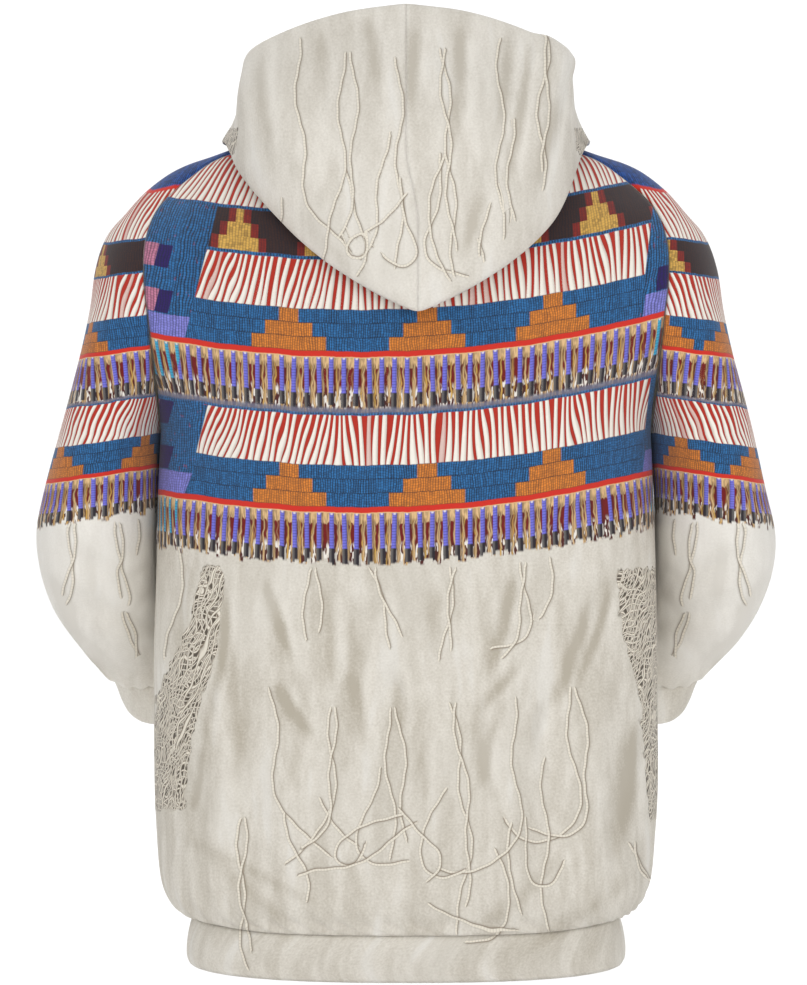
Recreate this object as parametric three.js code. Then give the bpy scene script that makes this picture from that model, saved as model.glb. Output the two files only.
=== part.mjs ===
// A pullover hoodie filled out as if worn, seen best from behind: saddle sleeves bent forward at the
// elbow, the hood down in a pouch behind the neck, a banded hem and banded cuffs. Every piece of cloth
// is a wall of one thickness around empty space. Units are millimetres, +Z is up, the garment faces -Y,
// and the origin is the middle of the neck at the height of the shoulders, where it is held up.
import * as THREE from 'three';

// Driving sizes
const WALL = 2;             // thickness of the cloth
const SEAM_GAP = 0.3;       // space between two pieces at a seam
const SEAM_BEVEL = 0.45;    // how much further the inside of a seam edge steps back
const BAND_HEIGHT = 40;     // height of the hem band
const CUFF_LENGTH = 58;
const NECK_HALF_WIDTH = 97; // from the middle to the neck end of the shoulder

// How finely each piece is cut into facets
const PANEL_COLUMNS = 30;
const SLEEVE_COLUMNS = 20;
const BAND_COLUMNS = 56;
const HOOD_COLUMNS = 18;
const HOOD_ROWS = 22;

// The upper body, from the neckline down to the underarm. The seam columns are the line where a panel
// meets the saddle sleeve: x outwards, y to the back and z. The back and front columns are the depth
// and height of the panel's middle. The top columns are the ridge of the sleeve on the same row, and
// fullness is the half depth of the sleeve's oval.
const YOKE = [
  { seamX: NECK_HALF_WIDTH, seamY: 20, seamZ: 4, backY: 72, backZ: -14, frontY: 78, frontZ: -82, topX: 97, topZ: 10, fullness: 35 },
  { seamX: 130, seamY: 22, seamZ: -9, backY: 82, backZ: -28, frontY: 86, frontZ: -92, topX: 131, topZ: -2.5, fullness: 37 },
  { seamX: 163, seamY: 25, seamZ: -21, backY: 90, backZ: -42, frontY: 92, frontZ: -102, topX: 165, topZ: -14.5, fullness: 40 },
  { seamX: 184, seamY: 30, seamZ: -36, backY: 96, backZ: -55, frontY: 97, frontZ: -112, topX: 190, topZ: -22.5, fullness: 41 },
  { seamX: 199, seamY: 38, seamZ: -50, backY: 101, backZ: -68, frontY: 102, frontZ: -121, topX: 208, topZ: -32, fullness: 46 },
  { seamX: 210, seamY: 50, seamZ: -64, backY: 106, backZ: -82, frontY: 106, frontZ: -131, topX: 227, topZ: -48, fullness: 58 },
  { seamX: 217, seamY: 63, seamZ: -81, backY: 111, backZ: -98, frontY: 110, frontZ: -142, topX: 243, topZ: -67, fullness: 68.5 },
  { seamX: 220.5, seamY: 76, seamZ: -104, backY: 117, backZ: -119, frontY: 115, frontZ: -156, topX: 259, topZ: -87, fullness: 77 },
  { seamX: 219.5, seamY: 84, seamZ: -133, backY: 122, backZ: -145, frontY: 120, frontZ: -172, topX: 269, topZ: -115, fullness: 84.2 },
  { seamX: 216, seamY: 84, seamZ: -163, backY: 125, backZ: -172, frontY: 124, frontZ: -190, topX: 275, topZ: -150, fullness: 86.7 },
  { seamX: 213, seamY: 74, seamZ: -196, backY: 127, backZ: -202, frontY: 128, frontZ: -212, topX: 283, topZ: -189, fullness: 86 },
  { seamX: 211.5, seamY: 44, seamZ: -232, backY: 128, backZ: -234, frontY: 130, frontZ: -237, topX: 293, topZ: -228, fullness: 85 },
  { seamX: 212, seamY: 0, seamZ: -261, backY: 129, backZ: -261, frontY: 131, frontZ: -261, topX: 301, topZ: -259, fullness: 85 },
];
const UNDERARM = YOKE.length - 1;   // the row whose sleeve section closes
const FULL_SECTION_ROW = 7;         // below this row the sleeve's oval wraps past its widest

// The body below the underarm, down to the seam of the hem band: half width at the side seam, depth
// of the middle of the back and of the front, and height.
const TRUNK = [
  { side: 212, back: 129, front: 131, z: -261 },
  { side: 213.5, back: 128, front: 132, z: -300 },
  { side: 215.5, back: 127, front: 133, z: -345 },
  { side: 216.5, back: 127, front: 134, z: -390 },
  { side: 217.5, back: 128, front: 135, z: -435 },
  { side: 218, back: 130, front: 137, z: -480 },
  { side: 218, back: 133, front: 139, z: -525 },
  { side: 217, back: 136, front: 141, z: -567 },
  { side: 215, back: 138, front: 142, z: -603 },
  { side: 213, back: 138.5, front: 142, z: -629 },
  { side: 209.5, back: 137, front: 140, z: -647 },
  { side: 203, back: 132, front: 135, z: -660 },
  { side: 194.5, back: 123.5, front: 126.5, z: -668 },
  { side: 184, back: 113, front: 116, z: -671.5 },
];
const TRUNK_POWER = 2.5;            // 2 is an ellipse, and more is squarer

// Soft upright folds where the body blouses over the hem band: how far from the middle, half width,
// how far the fold stands out, and the heights where it starts and is fullest.
const FOLDS = [
  { face: 'back', x: -152, wide: 26, out: 5, top: -400, full: -585 },
  { face: 'back', x: -78, wide: 30, out: 6, top: -330, full: -575 },
  { face: 'back', x: 14, wide: 28, out: 4.5, top: -380, full: -595 },
  { face: 'back', x: 84, wide: 30, out: 6, top: -300, full: -590 },
  { face: 'back', x: 158, wide: 26, out: 5, top: -420, full: -570 },
  { face: 'front', x: -140, wide: 28, out: 5, top: -380, full: -590 },
  { face: 'front', x: -50, wide: 30, out: 5.5, top: -340, full: -580 },
  { face: 'front', x: 46, wide: 30, out: 5, top: -400, full: -595 },
  { face: 'front', x: 132, wide: 28, out: 6, top: -350, full: -585 },
];
const FOLD_END = -668;              // height where the folds are gathered flat into the band

// The hem band, as a share of its height from the seam down
const HEM = [
  { side: 183.5, back: 112.5, front: 115.5, down: 0 },
  { side: 187, back: 116, front: 119, down: 0.25 },
  { side: 189.5, back: 118.5, front: 121.5, down: 0.55 },
  { side: 190, back: 119, front: 122, down: 0.8 },
  { side: 188.5, back: 117.5, front: 120.5, down: 1 },
];

// The sleeve below the underarm: the middle of each section, its half width outwards and half depth
// along the bend, how far it is turned from level, and how far the creases in the bend stand out.
const ARM = [
  { x: 256.8, y: 0, z: -260.5, wide: 44.4, deep: 85, pitch: 0, crease: 0 },
  { x: 260.4, y: 3, z: -284, wide: 46, deep: 81, pitch: 3, crease: 0 },
  { x: 264.7, y: 4, z: -312, wide: 48.5, deep: 78, pitch: 9, crease: 2 },
  { x: 268.6, y: 0, z: -339, wide: 51.4, deep: 74, pitch: 18, crease: -3 },
  { x: 269, y: -12, z: -363, wide: 51.2, deep: 69, pitch: 30, crease: 4 },
  { x: 265.5, y: -31, z: -385, wide: 49.5, deep: 64, pitch: 41, crease: -4 },
  { x: 259, y: -56, z: -403, wide: 48, deep: 60, pitch: 48, crease: 3 },
  { x: 252, y: -83, z: -419, wide: 47, deep: 57, pitch: 50, crease: -3 },
  { x: 246, y: -109, z: -434, wide: 46, deep: 54, pitch: 50, crease: 2 },
  { x: 240.5, y: -132, z: -448, wide: 45, deep: 50, pitch: 48, crease: 0 },
  { x: 237, y: -147, z: -457, wide: 42, deep: 43, pitch: 46, crease: 0 },
];
const ARM_TURN_IN = 12;             // degrees that the forearm points inwards, reached at the wrist

// The hood, let down: loops around the neck from the middle of the back to the middle of the front.
// The fold is the ridge above the neck seam, the foot is the bottom of the pouch, the belly is the
// fullest part of its outer side and the rim is the edge of the face opening.
const HOOD = [
  { neck: 0, foldX: 0, foldY: 92, foldZ: 30, footX: 0, footY: 144, footZ: -163, bellyX: 0, bellyY: 168, bellyZ: -25, rimX: 0, rimY: 122, rimZ: 94 },
  { neck: 0.12, foldX: 40, foldY: 85, foldZ: 31, footX: 57, footY: 139, footZ: -134, bellyX: 60, bellyY: 162, bellyZ: -18, rimX: 50, rimY: 117, rimZ: 88 },
  { neck: 0.23, foldX: 72, foldY: 68, foldZ: 32, footX: 106, footY: 118, footZ: -92, bellyX: 110, bellyY: 140, bellyZ: -2, rimX: 98, rimY: 104, rimZ: 76 },
  { neck: 0.32, foldX: 93, foldY: 46, foldZ: 33, footX: 136, footY: 92, footZ: -50, bellyX: 137, bellyY: 108, bellyZ: 12, rimX: 133, rimY: 86, rimZ: 61 },
  { neck: 0.39, foldX: 104, foldY: 26, foldZ: 33, footX: 149, footY: 62, footZ: -22, bellyX: 141, bellyY: 72, bellyZ: 18, rimX: 138, rimY: 58, rimZ: 46 },
  { neck: 0.45, foldX: 108, foldY: 6, foldZ: 32, footX: 156, footY: 33, footZ: -8, bellyX: 144, bellyY: 36, bellyZ: 15, rimX: 136, rimY: 32, rimZ: 36 },
  { neck: 0.51, foldX: 107, foldY: -12, foldZ: 28, footX: 158, footY: 2, footZ: -5, bellyX: 146, bellyY: 2, bellyZ: 12, rimX: 129, rimY: 2, rimZ: 29 },
  { neck: 0.58, foldX: 102, foldY: -32, foldZ: 18, footX: 148, footY: -28, footZ: -7, bellyX: 141, bellyY: -30, bellyZ: 8, rimX: 120, rimY: -26, rimZ: 21 },
  { neck: 0.67, foldX: 88, foldY: -52, foldZ: 0, footX: 126, footY: -57, footZ: -18, bellyX: 122, bellyY: -61, bellyZ: -3, rimX: 103, rimY: -52, rimZ: 9 },
  { neck: 0.77, foldX: 68, foldY: -69, foldZ: -20, footX: 94, footY: -81, footZ: -36, bellyX: 92, bellyY: -85, bellyZ: -24, rimX: 79, rimY: -73, rimZ: -11 },
  { neck: 0.88, foldX: 38, foldY: -85, foldZ: -48, footX: 52, footY: -99, footZ: -60, bellyX: 52, bellyY: -102, bellyZ: -50, rimX: 44, rimY: -93, rimZ: -39 },
  { neck: 1, foldX: 3, foldY: -90, foldZ: -74, footX: 5, footY: -101, footZ: -81, bellyX: 5, bellyY: -103, bellyZ: -73, rimX: 3, rimY: -98, rimZ: -65 },
];

// Finishes of the cloth. The banded print is given its average colour.
const HIDE = { color: 0xd9d4ca, roughness: 0.85, metalness: 0 };
const BANDED = { color: 0xa89c91, roughness: 0.8, metalness: 0 };

// A value on a smooth curve through four neighbours, at a share of the way between the middle two
function smooth(a, b, c, d, share) {
  const s2 = share * share;
  const s3 = s2 * share;
  return 0.5 * (2 * b + (c - a) * share + (2 * a - 5 * b + 4 * c - d) * s2 + (3 * b - a - 3 * c + d) * s3);
}

// Every column of a table at a fractional row, on smooth curves through the rows
function between(table, at) {
  const last = table.length - 1;
  const row = Math.min(Math.floor(Math.max(at, 0)), last - 1);
  const pick = (i) => table[Math.min(Math.max(i, 0), last)];
  const found = {};
  for (const key of Object.keys(table[0])) {
    found[key] = smooth(pick(row - 1)[key], pick(row)[key], pick(row + 1)[key], pick(row + 2)[key], at - row);
  }
  return found;
}

const mix = (a, b, share) => a + (b - a) * share;

// One point of a body panel on a yoke row. across runs from -1 to 1, and face is 'back' or 'front'.
function yokePoint(row, across, face) {
  const r = between(YOKE, row);
  const low = THREE.MathUtils.smoothstep(row, 4, UNDERARM);
  const reach = mix(across, Math.sin((across * Math.PI) / 2), low);
  const side = Math.abs(reach) ** mix(2.2, TRUNK_POWER, low);
  const round = mix(1.5, TRUNK_POWER, low);
  const middleY = face === 'back' ? r.backY : r.frontY;
  const middleZ = face === 'back' ? r.backZ : r.frontZ;
  const y = mix(middleY ** round, Math.max(r.seamY, 0) ** round, side) ** (1 / round);
  const z = mix(r.seamZ, middleZ, 1 - reach * reach);
  return new THREE.Vector3(r.seamX * reach, face === 'back' ? y : -y, z);
}

// One point of a level oval section of the body
function trunkPoint(section, across, face) {
  const reach = Math.sin((across * Math.PI) / 2);
  const rest = Math.max(0, 1 - Math.abs(reach) ** TRUNK_POWER) ** (1 / TRUNK_POWER);
  const y = face === 'back' ? section.back * rest : -section.front * rest;
  return new THREE.Vector3(section.side * reach, y, section.z);
}

// How far the upright folds stand out at a place on one face of the body
function foldOut(face, x, z) {
  let out = 0;
  for (const fold of FOLDS) {
    if (fold.face !== face) continue;
    const start = THREE.MathUtils.smoothstep(-z, -fold.top, -fold.full);
    const end = 1 - THREE.MathUtils.smoothstep(-z, -fold.full, -FOLD_END);
    out += fold.out * start * end * Math.exp(-(((x - fold.x) / fold.wide) ** 2));
  }
  return out;
}

// The points of a body panel, row by row from the neckline to the seam of the hem band
function panelPoints(face) {
  const rows = [];
  const turn = face === 'back' ? 1 : -1;
  for (let i = 0; i <= UNDERARM + TRUNK.length - 1; i++) {
    const row = [];
    for (let j = 0; j <= PANEL_COLUMNS; j++) {
      const across = turn * (1 - (2 * j) / PANEL_COLUMNS);
      const point = i <= UNDERARM ? yokePoint(i, across, face) : trunkPoint(TRUNK[i - UNDERARM], across, face);
      const hang = foldOut(face, point.x, point.z) * Math.cos((across * Math.PI) / 2) ** 0.5;
      point.y += face === 'back' ? hang : -hang;
      row.push(point);
    }
    rows.push(row);
  }
  return rows;
}

// One row of the sleeve's saddle and cap: an arc over the ridge from the back seam to the front seam
function capRow(i) {
  const r = YOKE[i];
  const foot = new THREE.Vector3(r.seamX, 0, r.seamZ);
  const up = new THREE.Vector3(r.topX, 0, r.topZ).sub(foot);
  const height = up.length();
  up.normalize();
  const opening = Math.asin(Math.min(1, r.seamY / r.fullness));
  const wrap = i > FULL_SECTION_ROW ? Math.PI - opening : opening;
  const rise = height / (1 - Math.cos(wrap));
  const row = [];
  for (let j = 0; j <= SLEEVE_COLUMNS; j++) {
    const turn = wrap * (1 - (2 * j) / SLEEVE_COLUMNS);
    const point = foot.clone().addScaledVector(up, height - rise + rise * Math.cos(turn));
    point.y = r.fullness * Math.sin(turn);
    row.push(point);
  }
  return row;
}

// One closed section of the sleeve below the underarm, from the underarm seam round the back
function armRow(section, share) {
  const pitch = THREE.MathUtils.degToRad(section.pitch);
  const turnIn = THREE.MathUtils.degToRad(ARM_TURN_IN) * share;
  const out = new THREE.Vector3(Math.cos(turnIn), -Math.sin(turnIn), 0);
  const back = new THREE.Vector3(Math.sin(turnIn) * Math.cos(pitch), Math.cos(turnIn) * Math.cos(pitch), -Math.sin(pitch));
  const row = [];
  for (let j = 0; j <= SLEEVE_COLUMNS; j++) {
    const turn = Math.PI * (1 - (2 * j) / SLEEVE_COLUMNS);
    row.push(new THREE.Vector3(section.x, section.y, section.z)
      .addScaledVector(out, section.wide * Math.cos(turn))
      .addScaledVector(back, (section.deep + section.crease * Math.max(0, -Math.sin(turn))) * Math.sin(turn)));
  }
  row[SLEEVE_COLUMNS] = row[0].clone();
  return row;
}

// The points of the left sleeve, row by row from the neck to the wrist
function sleevePoints() {
  const rows = [];
  for (let i = 0; i < UNDERARM; i++) rows.push(capRow(i));
  ARM.forEach((section, i) => rows.push(armRow(section, i / (ARM.length - 1))));
  return rows;
}

// The points of the left cuff, from the sleeve's end along its own direction
function cuffPoints() {
  const end = ARM[ARM.length - 1];
  const pitch = THREE.MathUtils.degToRad(end.pitch);
  const turnIn = THREE.MathUtils.degToRad(ARM_TURN_IN);
  const along = new THREE.Vector3(-Math.sin(turnIn) * Math.sin(pitch), -Math.cos(turnIn) * Math.sin(pitch), -Math.cos(pitch));
  const rows = [];
  const sizes = [41, 40.5, 40, 40, 39];
  sizes.forEach((radius, i) => {
    const down = SEAM_GAP + (CUFF_LENGTH * i) / (sizes.length - 1);
    const section = {
      x: end.x + along.x * down,
      y: end.y + along.y * down,
      z: end.z + along.z * down,
      wide: radius,
      deep: radius,
      pitch: end.pitch,
      crease: 0,
    };
    rows.push(armRow(section, 1));
  });
  return rows;
}

// The points of the hem band, all round
function hemPoints() {
  const top = TRUNK[TRUNK.length - 1].z - SEAM_GAP;
  return HEM.map((share) => {
    const section = { side: share.side, back: share.back, front: share.front, z: top - share.down * BAND_HEIGHT };
    const row = [];
    for (let j = 0; j <= BAND_COLUMNS; j++) {
      const half = BAND_COLUMNS / 2;
      row.push(j <= half ? trunkPoint(section, 1 - (2 * j) / half, 'back') : trunkPoint(section, -1 + (2 * (j - half)) / half, 'front'));
    }
    row[BAND_COLUMNS] = row[0].clone();
    return row;
  });
}

// A point of the left half of the neckline, at a share of its length from the back to the front
const NECKLINE = (() => {
  const line = [];
  for (let j = 0; j <= 12; j++) line.push(yokePoint(0, j / 12, 'back'));
  capRow(0).slice(1, -1).forEach((point) => line.push(point));
  for (let j = 12; j >= 0; j--) line.push(yokePoint(0, j / 12, 'front'));
  return new THREE.CatmullRomCurve3(line, false, 'centripetal');
})();

// The points of the left half of the hood, row by row from the neck seam over the fold, down to the
// foot of the pouch and up to the rim
function hoodPoints() {
  const loops = [];
  for (let k = 0; k <= HOOD_COLUMNS; k++) {
    const h = between(HOOD, (k / HOOD_COLUMNS) * (HOOD.length - 1));
    const seam = NECKLINE.getPointAt(THREE.MathUtils.clamp(h.neck, 0, 1));
    seam.z += 2 * SEAM_GAP;
    loops.push(new THREE.CatmullRomCurve3([
      seam,
      new THREE.Vector3(h.foldX, h.foldY, h.foldZ),
      new THREE.Vector3(h.footX, h.footY, h.footZ),
      new THREE.Vector3(h.bellyX, h.bellyY, h.bellyZ),
      new THREE.Vector3(h.rimX, h.rimY, h.rimZ),
    ], false, 'centripetal'));
  }
  const rows = [];
  for (let i = 0; i <= HOOD_ROWS; i++) rows.push(loops.map((loop) => loop.getPointAt(i / HOOD_ROWS)));
  return rows;
}

// A wall of cloth behind a grid of outer points. Grid points that coincide are welded, so a tube
// closes by itself, and the edges that are left get a rim. keepOff, where given, moves an edge point
// and its inner point clear of a plane between two pieces.
function clothWall(rows, flip, keepOff) {
  const points = [];
  const index = new Map();
  const ids = rows.map((row) => row.map((p) => {
    const key = [p.x, p.y, p.z].map((v) => Math.round(v * 1e4)).join();
    if (!index.has(key)) {
      index.set(key, points.length);
      points.push(p.clone());
    }
    return index.get(key);
  }));
  const faces = [];
  const add = (a, b, c) => {
    if (a !== b && b !== c && c !== a) faces.push(flip ? [a, c, b] : [a, b, c]);
  };
  for (let i = 0; i + 1 < ids.length; i++) {
    for (let j = 0; j + 1 < ids[i].length; j++) {
      const [a, b, c, d] = [ids[i][j], ids[i + 1][j], ids[i + 1][j + 1], ids[i][j + 1]];
      add(a, b, c);
      add(a, c, d);
    }
  }
  const normals = points.map(() => new THREE.Vector3());
  for (const [a, b, c] of faces) {
    const normal = points[b].clone().sub(points[a]).cross(points[c].clone().sub(points[a]));
    [a, b, c].forEach((v) => normals[v].add(normal));
  }
  normals.forEach((n) => n.normalize());

  const used = new Set(faces.flatMap(([a, b, c]) => [[a, b], [b, c], [c, a]].map(String)));
  const edges = [];
  for (const [a, b, c] of faces) {
    for (const [from, to] of [[a, b], [b, c], [c, a]]) if (!used.has(String([to, from]))) edges.push([from, to]);
  }
  // The direction from an edge point into the cloth, square to its two edges
  const inward = new Map();
  for (const [from, to] of edges) {
    const along = points[to].clone().sub(points[from]).normalize();
    for (const v of [from, to]) {
      const into = normals[v].clone().cross(along);
      inward.set(v, (inward.get(v) || new THREE.Vector3()).add(into));
    }
  }
  const outer = points.map((p) => p.clone());
  const inner = points.map((p, v) => p.clone().addScaledVector(normals[v], -WALL));
  for (const [v, into] of inward) {
    into.normalize();
    outer[v].addScaledVector(into, SEAM_GAP / 2);
    inner[v].addScaledVector(into, SEAM_GAP / 2 + SEAM_BEVEL);
    if (keepOff) keepOff(outer[v], inner[v]);
  }
  const count = points.length;
  const triangles = faces.flatMap(([a, b, c]) => [a, b, c, a + count, c + count, b + count]);
  for (const [from, to] of edges) triangles.push(to, from, from + count, to, from + count, to + count);
  const geometry = new THREE.BufferGeometry();
  geometry.setAttribute('position', new THREE.Float32BufferAttribute([...outer, ...inner].flatMap((p) => [p.x, p.y, p.z]), 3));
  geometry.setIndex(triangles);
  geometry.computeVertexNormals();
  return geometry;
}

// The same grid on the other side of the body
const mirrored = (rows) => rows.map((row) => row.map((p) => new THREE.Vector3(-p.x, p.y, p.z)));

// Keeps the edge of a piece on its own side of a plane through the origin, half a seam gap away
function offPlane(axis, sign) {
  const limit = SEAM_GAP / 2;
  const near = 3 * WALL;
  return (outer, inner) => {
    for (const point of [outer, inner]) {
      if (Math.abs(outer[axis]) < near && sign * point[axis] < limit) point[axis] = sign * limit;
    }
  };
}

const hoodie = new THREE.Group();

function addPiece(name, geometry, finish) {
  const mesh = new THREE.Mesh(geometry, new THREE.MeshStandardMaterial(finish));
  mesh.name = name;
  hoodie.add(mesh);
}

addPiece('back_panel', clothWall(panelPoints('back'), false, offPlane('y', 1)), BANDED);
addPiece('front_panel', clothWall(panelPoints('front'), false, offPlane('y', -1)), BANDED);
addPiece('hem_band', clothWall(hemPoints(), false), HIDE);
addPiece('sleeve_left', clothWall(sleevePoints(), true), BANDED);
addPiece('sleeve_right', clothWall(mirrored(sleevePoints()), false), BANDED);
addPiece('cuff_left', clothWall(cuffPoints(), true), HIDE);
addPiece('cuff_right', clothWall(mirrored(cuffPoints()), false), HIDE);
addPiece('hood_left', clothWall(hoodPoints(), false, offPlane('x', 1)), HIDE);
addPiece('hood_right', clothWall(mirrored(hoodPoints()), true, offPlane('x', -1)), HIDE);

export default hoodie;
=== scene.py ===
"""A printed pullover hoodie, filled out as if worn and seen from behind, as a set of Blender operators.

Each piece of cloth is a thin shell on the form of its solid, finely meshed so that soft creases can be laid
on it. The print is drawn by node groups from two numbers at every place on the cloth: how far across the
print it is and how far down, in the picture's units of about 0.8 mm.
"""

import math

import bpy
import numpy as np
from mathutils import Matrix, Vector


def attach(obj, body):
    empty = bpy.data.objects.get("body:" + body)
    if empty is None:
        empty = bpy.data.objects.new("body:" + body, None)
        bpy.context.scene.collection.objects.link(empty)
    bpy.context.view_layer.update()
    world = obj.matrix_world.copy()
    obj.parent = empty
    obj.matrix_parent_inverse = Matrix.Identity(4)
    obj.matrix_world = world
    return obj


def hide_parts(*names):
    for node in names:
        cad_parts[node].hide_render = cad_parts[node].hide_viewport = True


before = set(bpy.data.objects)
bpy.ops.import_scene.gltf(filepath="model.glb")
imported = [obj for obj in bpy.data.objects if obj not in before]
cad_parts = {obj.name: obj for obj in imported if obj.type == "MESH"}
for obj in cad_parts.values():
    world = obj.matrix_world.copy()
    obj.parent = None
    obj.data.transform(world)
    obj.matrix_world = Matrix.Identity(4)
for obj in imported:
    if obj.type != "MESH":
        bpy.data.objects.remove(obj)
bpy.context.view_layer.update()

bl_info = {
    "name": "Printed hoodie",
    "version": (1, 0, 0),
    "blender": (4, 5, 0),
    "location": "View3D > Sidebar > Hoodie",
    "description": "Builds a printed pullover hoodie in its worn form",
    "category": "Object",
}

# The solid's tables, in millimetres, as the solids were made
# Columns: seam_x, seam_y, seam_z, back_y, back_z, front_y, front_z, top_x, top_z, fullness
YOKE = [
    (97, 20, 4, 72, -14, 78, -82, 97, 10, 35),
    (130, 22, -9, 82, -28, 86, -92, 131, -2.5, 37),
    (163, 25, -21, 90, -42, 92, -102, 165, -14.5, 40),
    (184, 30, -36, 96, -55, 97, -112, 190, -22.5, 41),
    (199, 38, -50, 101, -68, 102, -121, 208, -32, 46),
    (210, 50, -64, 106, -82, 106, -131, 227, -48, 58),
    (217, 63, -81, 111, -98, 110, -142, 243, -67, 68.5),
    (220.5, 76, -104, 117, -119, 115, -156, 259, -87, 77),
    (219.5, 84, -133, 122, -145, 120, -172, 269, -115, 84.2),
    (216, 84, -163, 125, -172, 124, -190, 275, -150, 86.7),
    (213, 74, -196, 127, -202, 128, -212, 283, -189, 86),
    (211.5, 44, -232, 128, -234, 130, -237, 293, -228, 85),
    (212, 0, -261, 129, -261, 131, -261, 301, -259, 85),
]
UNDERARM = 12
FULL_SECTION_ROW = 7

# Columns: side, back, front, z
TRUNK = [
    (212, 129, 131, -261), (213.5, 128, 132, -300), (215.5, 127, 133, -345), (216.5, 127, 134, -390),
    (217.5, 128, 135, -435), (218, 130, 137, -480), (218, 133, 139, -525), (217, 136, 141, -567),
    (215, 138, 142, -603), (213, 138.5, 142, -629), (209.5, 137, 140, -647), (203, 132, 135, -660),
    (194.5, 123.5, 126.5, -668), (184, 113, 116, -671.5),
]
TRUNK_POWER = 2.5

# Columns: side, back, front, z
HEM = [
    (183.5, 112.5, 115.5, -671.8), (187, 116, 119, -681.8), (189.5, 118.5, 121.5, -693.8),
    (190, 119, 122, -703.8), (188.5, 117.5, 120.5, -711.8),
]

# Columns: x, y, z, wide, deep, pitch, crease
ARM = [
    (256.8, 0, -260.5, 44.4, 85, 0, 0), (260.4, 3, -284, 46, 81, 3, 0), (264.7, 4, -312, 48.5, 78, 9, 2),
    (268.6, 0, -339, 51.4, 74, 18, -3), (269, -12, -363, 51.2, 69, 30, 4),
    (265.5, -31, -385, 49.5, 64, 41, -4),
    (259, -56, -403, 48, 60, 48, 3), (252, -83, -419, 47, 57, 50, -3), (246, -109, -434, 46, 54, 50, 2),
    (240.5, -132, -448, 45, 50, 48, 0), (237, -147, -457, 42, 43, 46, 0),
]
ARM_TURN_IN = 12
CUFF_RADII = (41, 40.5, 40, 40, 39)
CUFF_LENGTH = 58

# Columns: neck, then x, y and z each of the fold, the foot, the belly and the rim
HOOD = [
    (0, 0, 92, 30, 0, 144, -163, 0, 168, -25, 0, 122, 94),
    (0.12, 40, 85, 31, 57, 139, -134, 60, 162, -18, 50, 117, 88),
    (0.23, 72, 68, 32, 106, 118, -92, 110, 140, -2, 98, 104, 76),
    (0.32, 93, 46, 33, 136, 92, -50, 137, 108, 12, 133, 86, 61),
    (0.39, 104, 26, 33, 149, 62, -22, 141, 72, 18, 138, 58, 46),
    (0.45, 108, 6, 32, 156, 33, -8, 144, 36, 15, 136, 32, 36),
    (0.51, 107, -12, 28, 158, 2, -5, 146, 2, 12, 129, 2, 29),
    (0.58, 102, -32, 18, 148, -28, -7, 141, -30, 8, 120, -26, 21),
    (0.67, 88, -52, 0, 126, -57, -18, 122, -61, -3, 103, -52, 9),
    (0.77, 68, -69, -20, 94, -81, -36, 92, -85, -24, 79, -73, -11),
    (0.88, 38, -85, -48, 52, -99, -60, 52, -102, -50, 44, -93, -39),
    (1, 3, -90, -74, 5, -101, -81, 5, -103, -73, 3, -98, -65),
]

# Columns: x, wide, out, top, full
BACK_FOLDS = [
    (-152, 26, 5, -400, -585), (-78, 30, 6, -330, -575), (14, 28, 4.5, -380, -595),
    (84, 30, 6, -300, -590), (158, 26, 5, -420, -570),
]
FRONT_FOLDS = [
    (-140, 28, 5, -380, -590), (-50, 30, 5.5, -340, -580), (46, 30, 5, -400, -595), (132, 28, 6, -350, -585),
]
FOLD_END = -668

# Where the picture was taken from, and its scale at the side seams
CAMERA_FAR = 2150.0
CAMERA_HIGH = -308.0
PICTURE_SCALE = 0.87
PICTURE_MIDDLE = (406.0, 492.5)
PICTURE_WIDE = 807
PICTURE_HIGH = 985
PRINT_SCALE = 0.82          # millimetres to one unit across the print on the back

# Soft creases laid on each face: x0, z0, x1, z1, half width and how far each stands out or sinks in
BACK_CREASES = [
    (122, -395, 98, -652, 15, 2.6), (64, -402, 76, -655, 13, -2.4), (-22, -385, -8, -655, 17, 2.8),
    (-88, -400, -82, -650, 14, 2.4), (-118, -420, -112, -640, 11, -2.2), (-165, -430, -150, -645, 13, 2.2),
    (160, -430, 150, -640, 14, 2.4), (30, -500, 36, -655, 10, -2), (-50, -520, -46, -655, 9, -1.8),
    (200, -268, 118, -345, 12, -2.6), (206, -300, 128, -410, 13, 2.4), (-198, -268, -112, -352, 12, -2.8),
    (-205, -305, -120, -425, 14, 2.4), (96, -120, 40, -250, 20, 1.4), (-104, -125, -52, -260, 20, 1.4),
]
FRONT_CREASES = [
    (118, -395, 100, -650, 15, 2.6), (40, -405, 28, -655, 14, -2.4), (-34, -390, -30, -655, 16, 2.6),
    (-96, -400, -84, -650, 14, -2.2), (-160, -430, -148, -645, 13, 2.4), (164, -430, 150, -640, 13, 2.2),
    (200, -268, 112, -350, 12, -2.8), (205, -305, 124, -420, 13, 2.4), (-200, -268, -116, -345, 12, -2.6),
    (-206, -302, -122, -415, 14, 2.6), (60, -110, 150, -70, 13, 2.2), (-64, -112, -150, -72, 13, 2.2),
]
SLEEVE_CREASES = [
    (314, -322, 232, -366, 9, 2.6), (312, -350, 226, -384, 8, -2.4), (306, -376, 224, -400, 9, 2.4),
    (296, -402, 222, -420, 8, -2.2), (284, -424, 220, -436, 8, 2), (240, -120, 300, -300, 15, 2.4),
    (226, -160, 262, -300, 11, -2), (262, -110, 312, -300, 12, -1.4), (228, -250, 292, -330, 10, 2.2),
]
HOOD_CREASES = [
    (-66, 62, -30, -96, 17, 2.4), (-20, 80, -6, -120, 13, -1.8), (30, 78, 22, -110, 15, 2.2),
    (-100, 66, -136, 40, 24, 6), (80, 60, 46, -80, 14, -2), (112, 40, 84, -60, 13, 2.2),
    (-108, 44, -80, -62, 12, -2),
]
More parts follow.
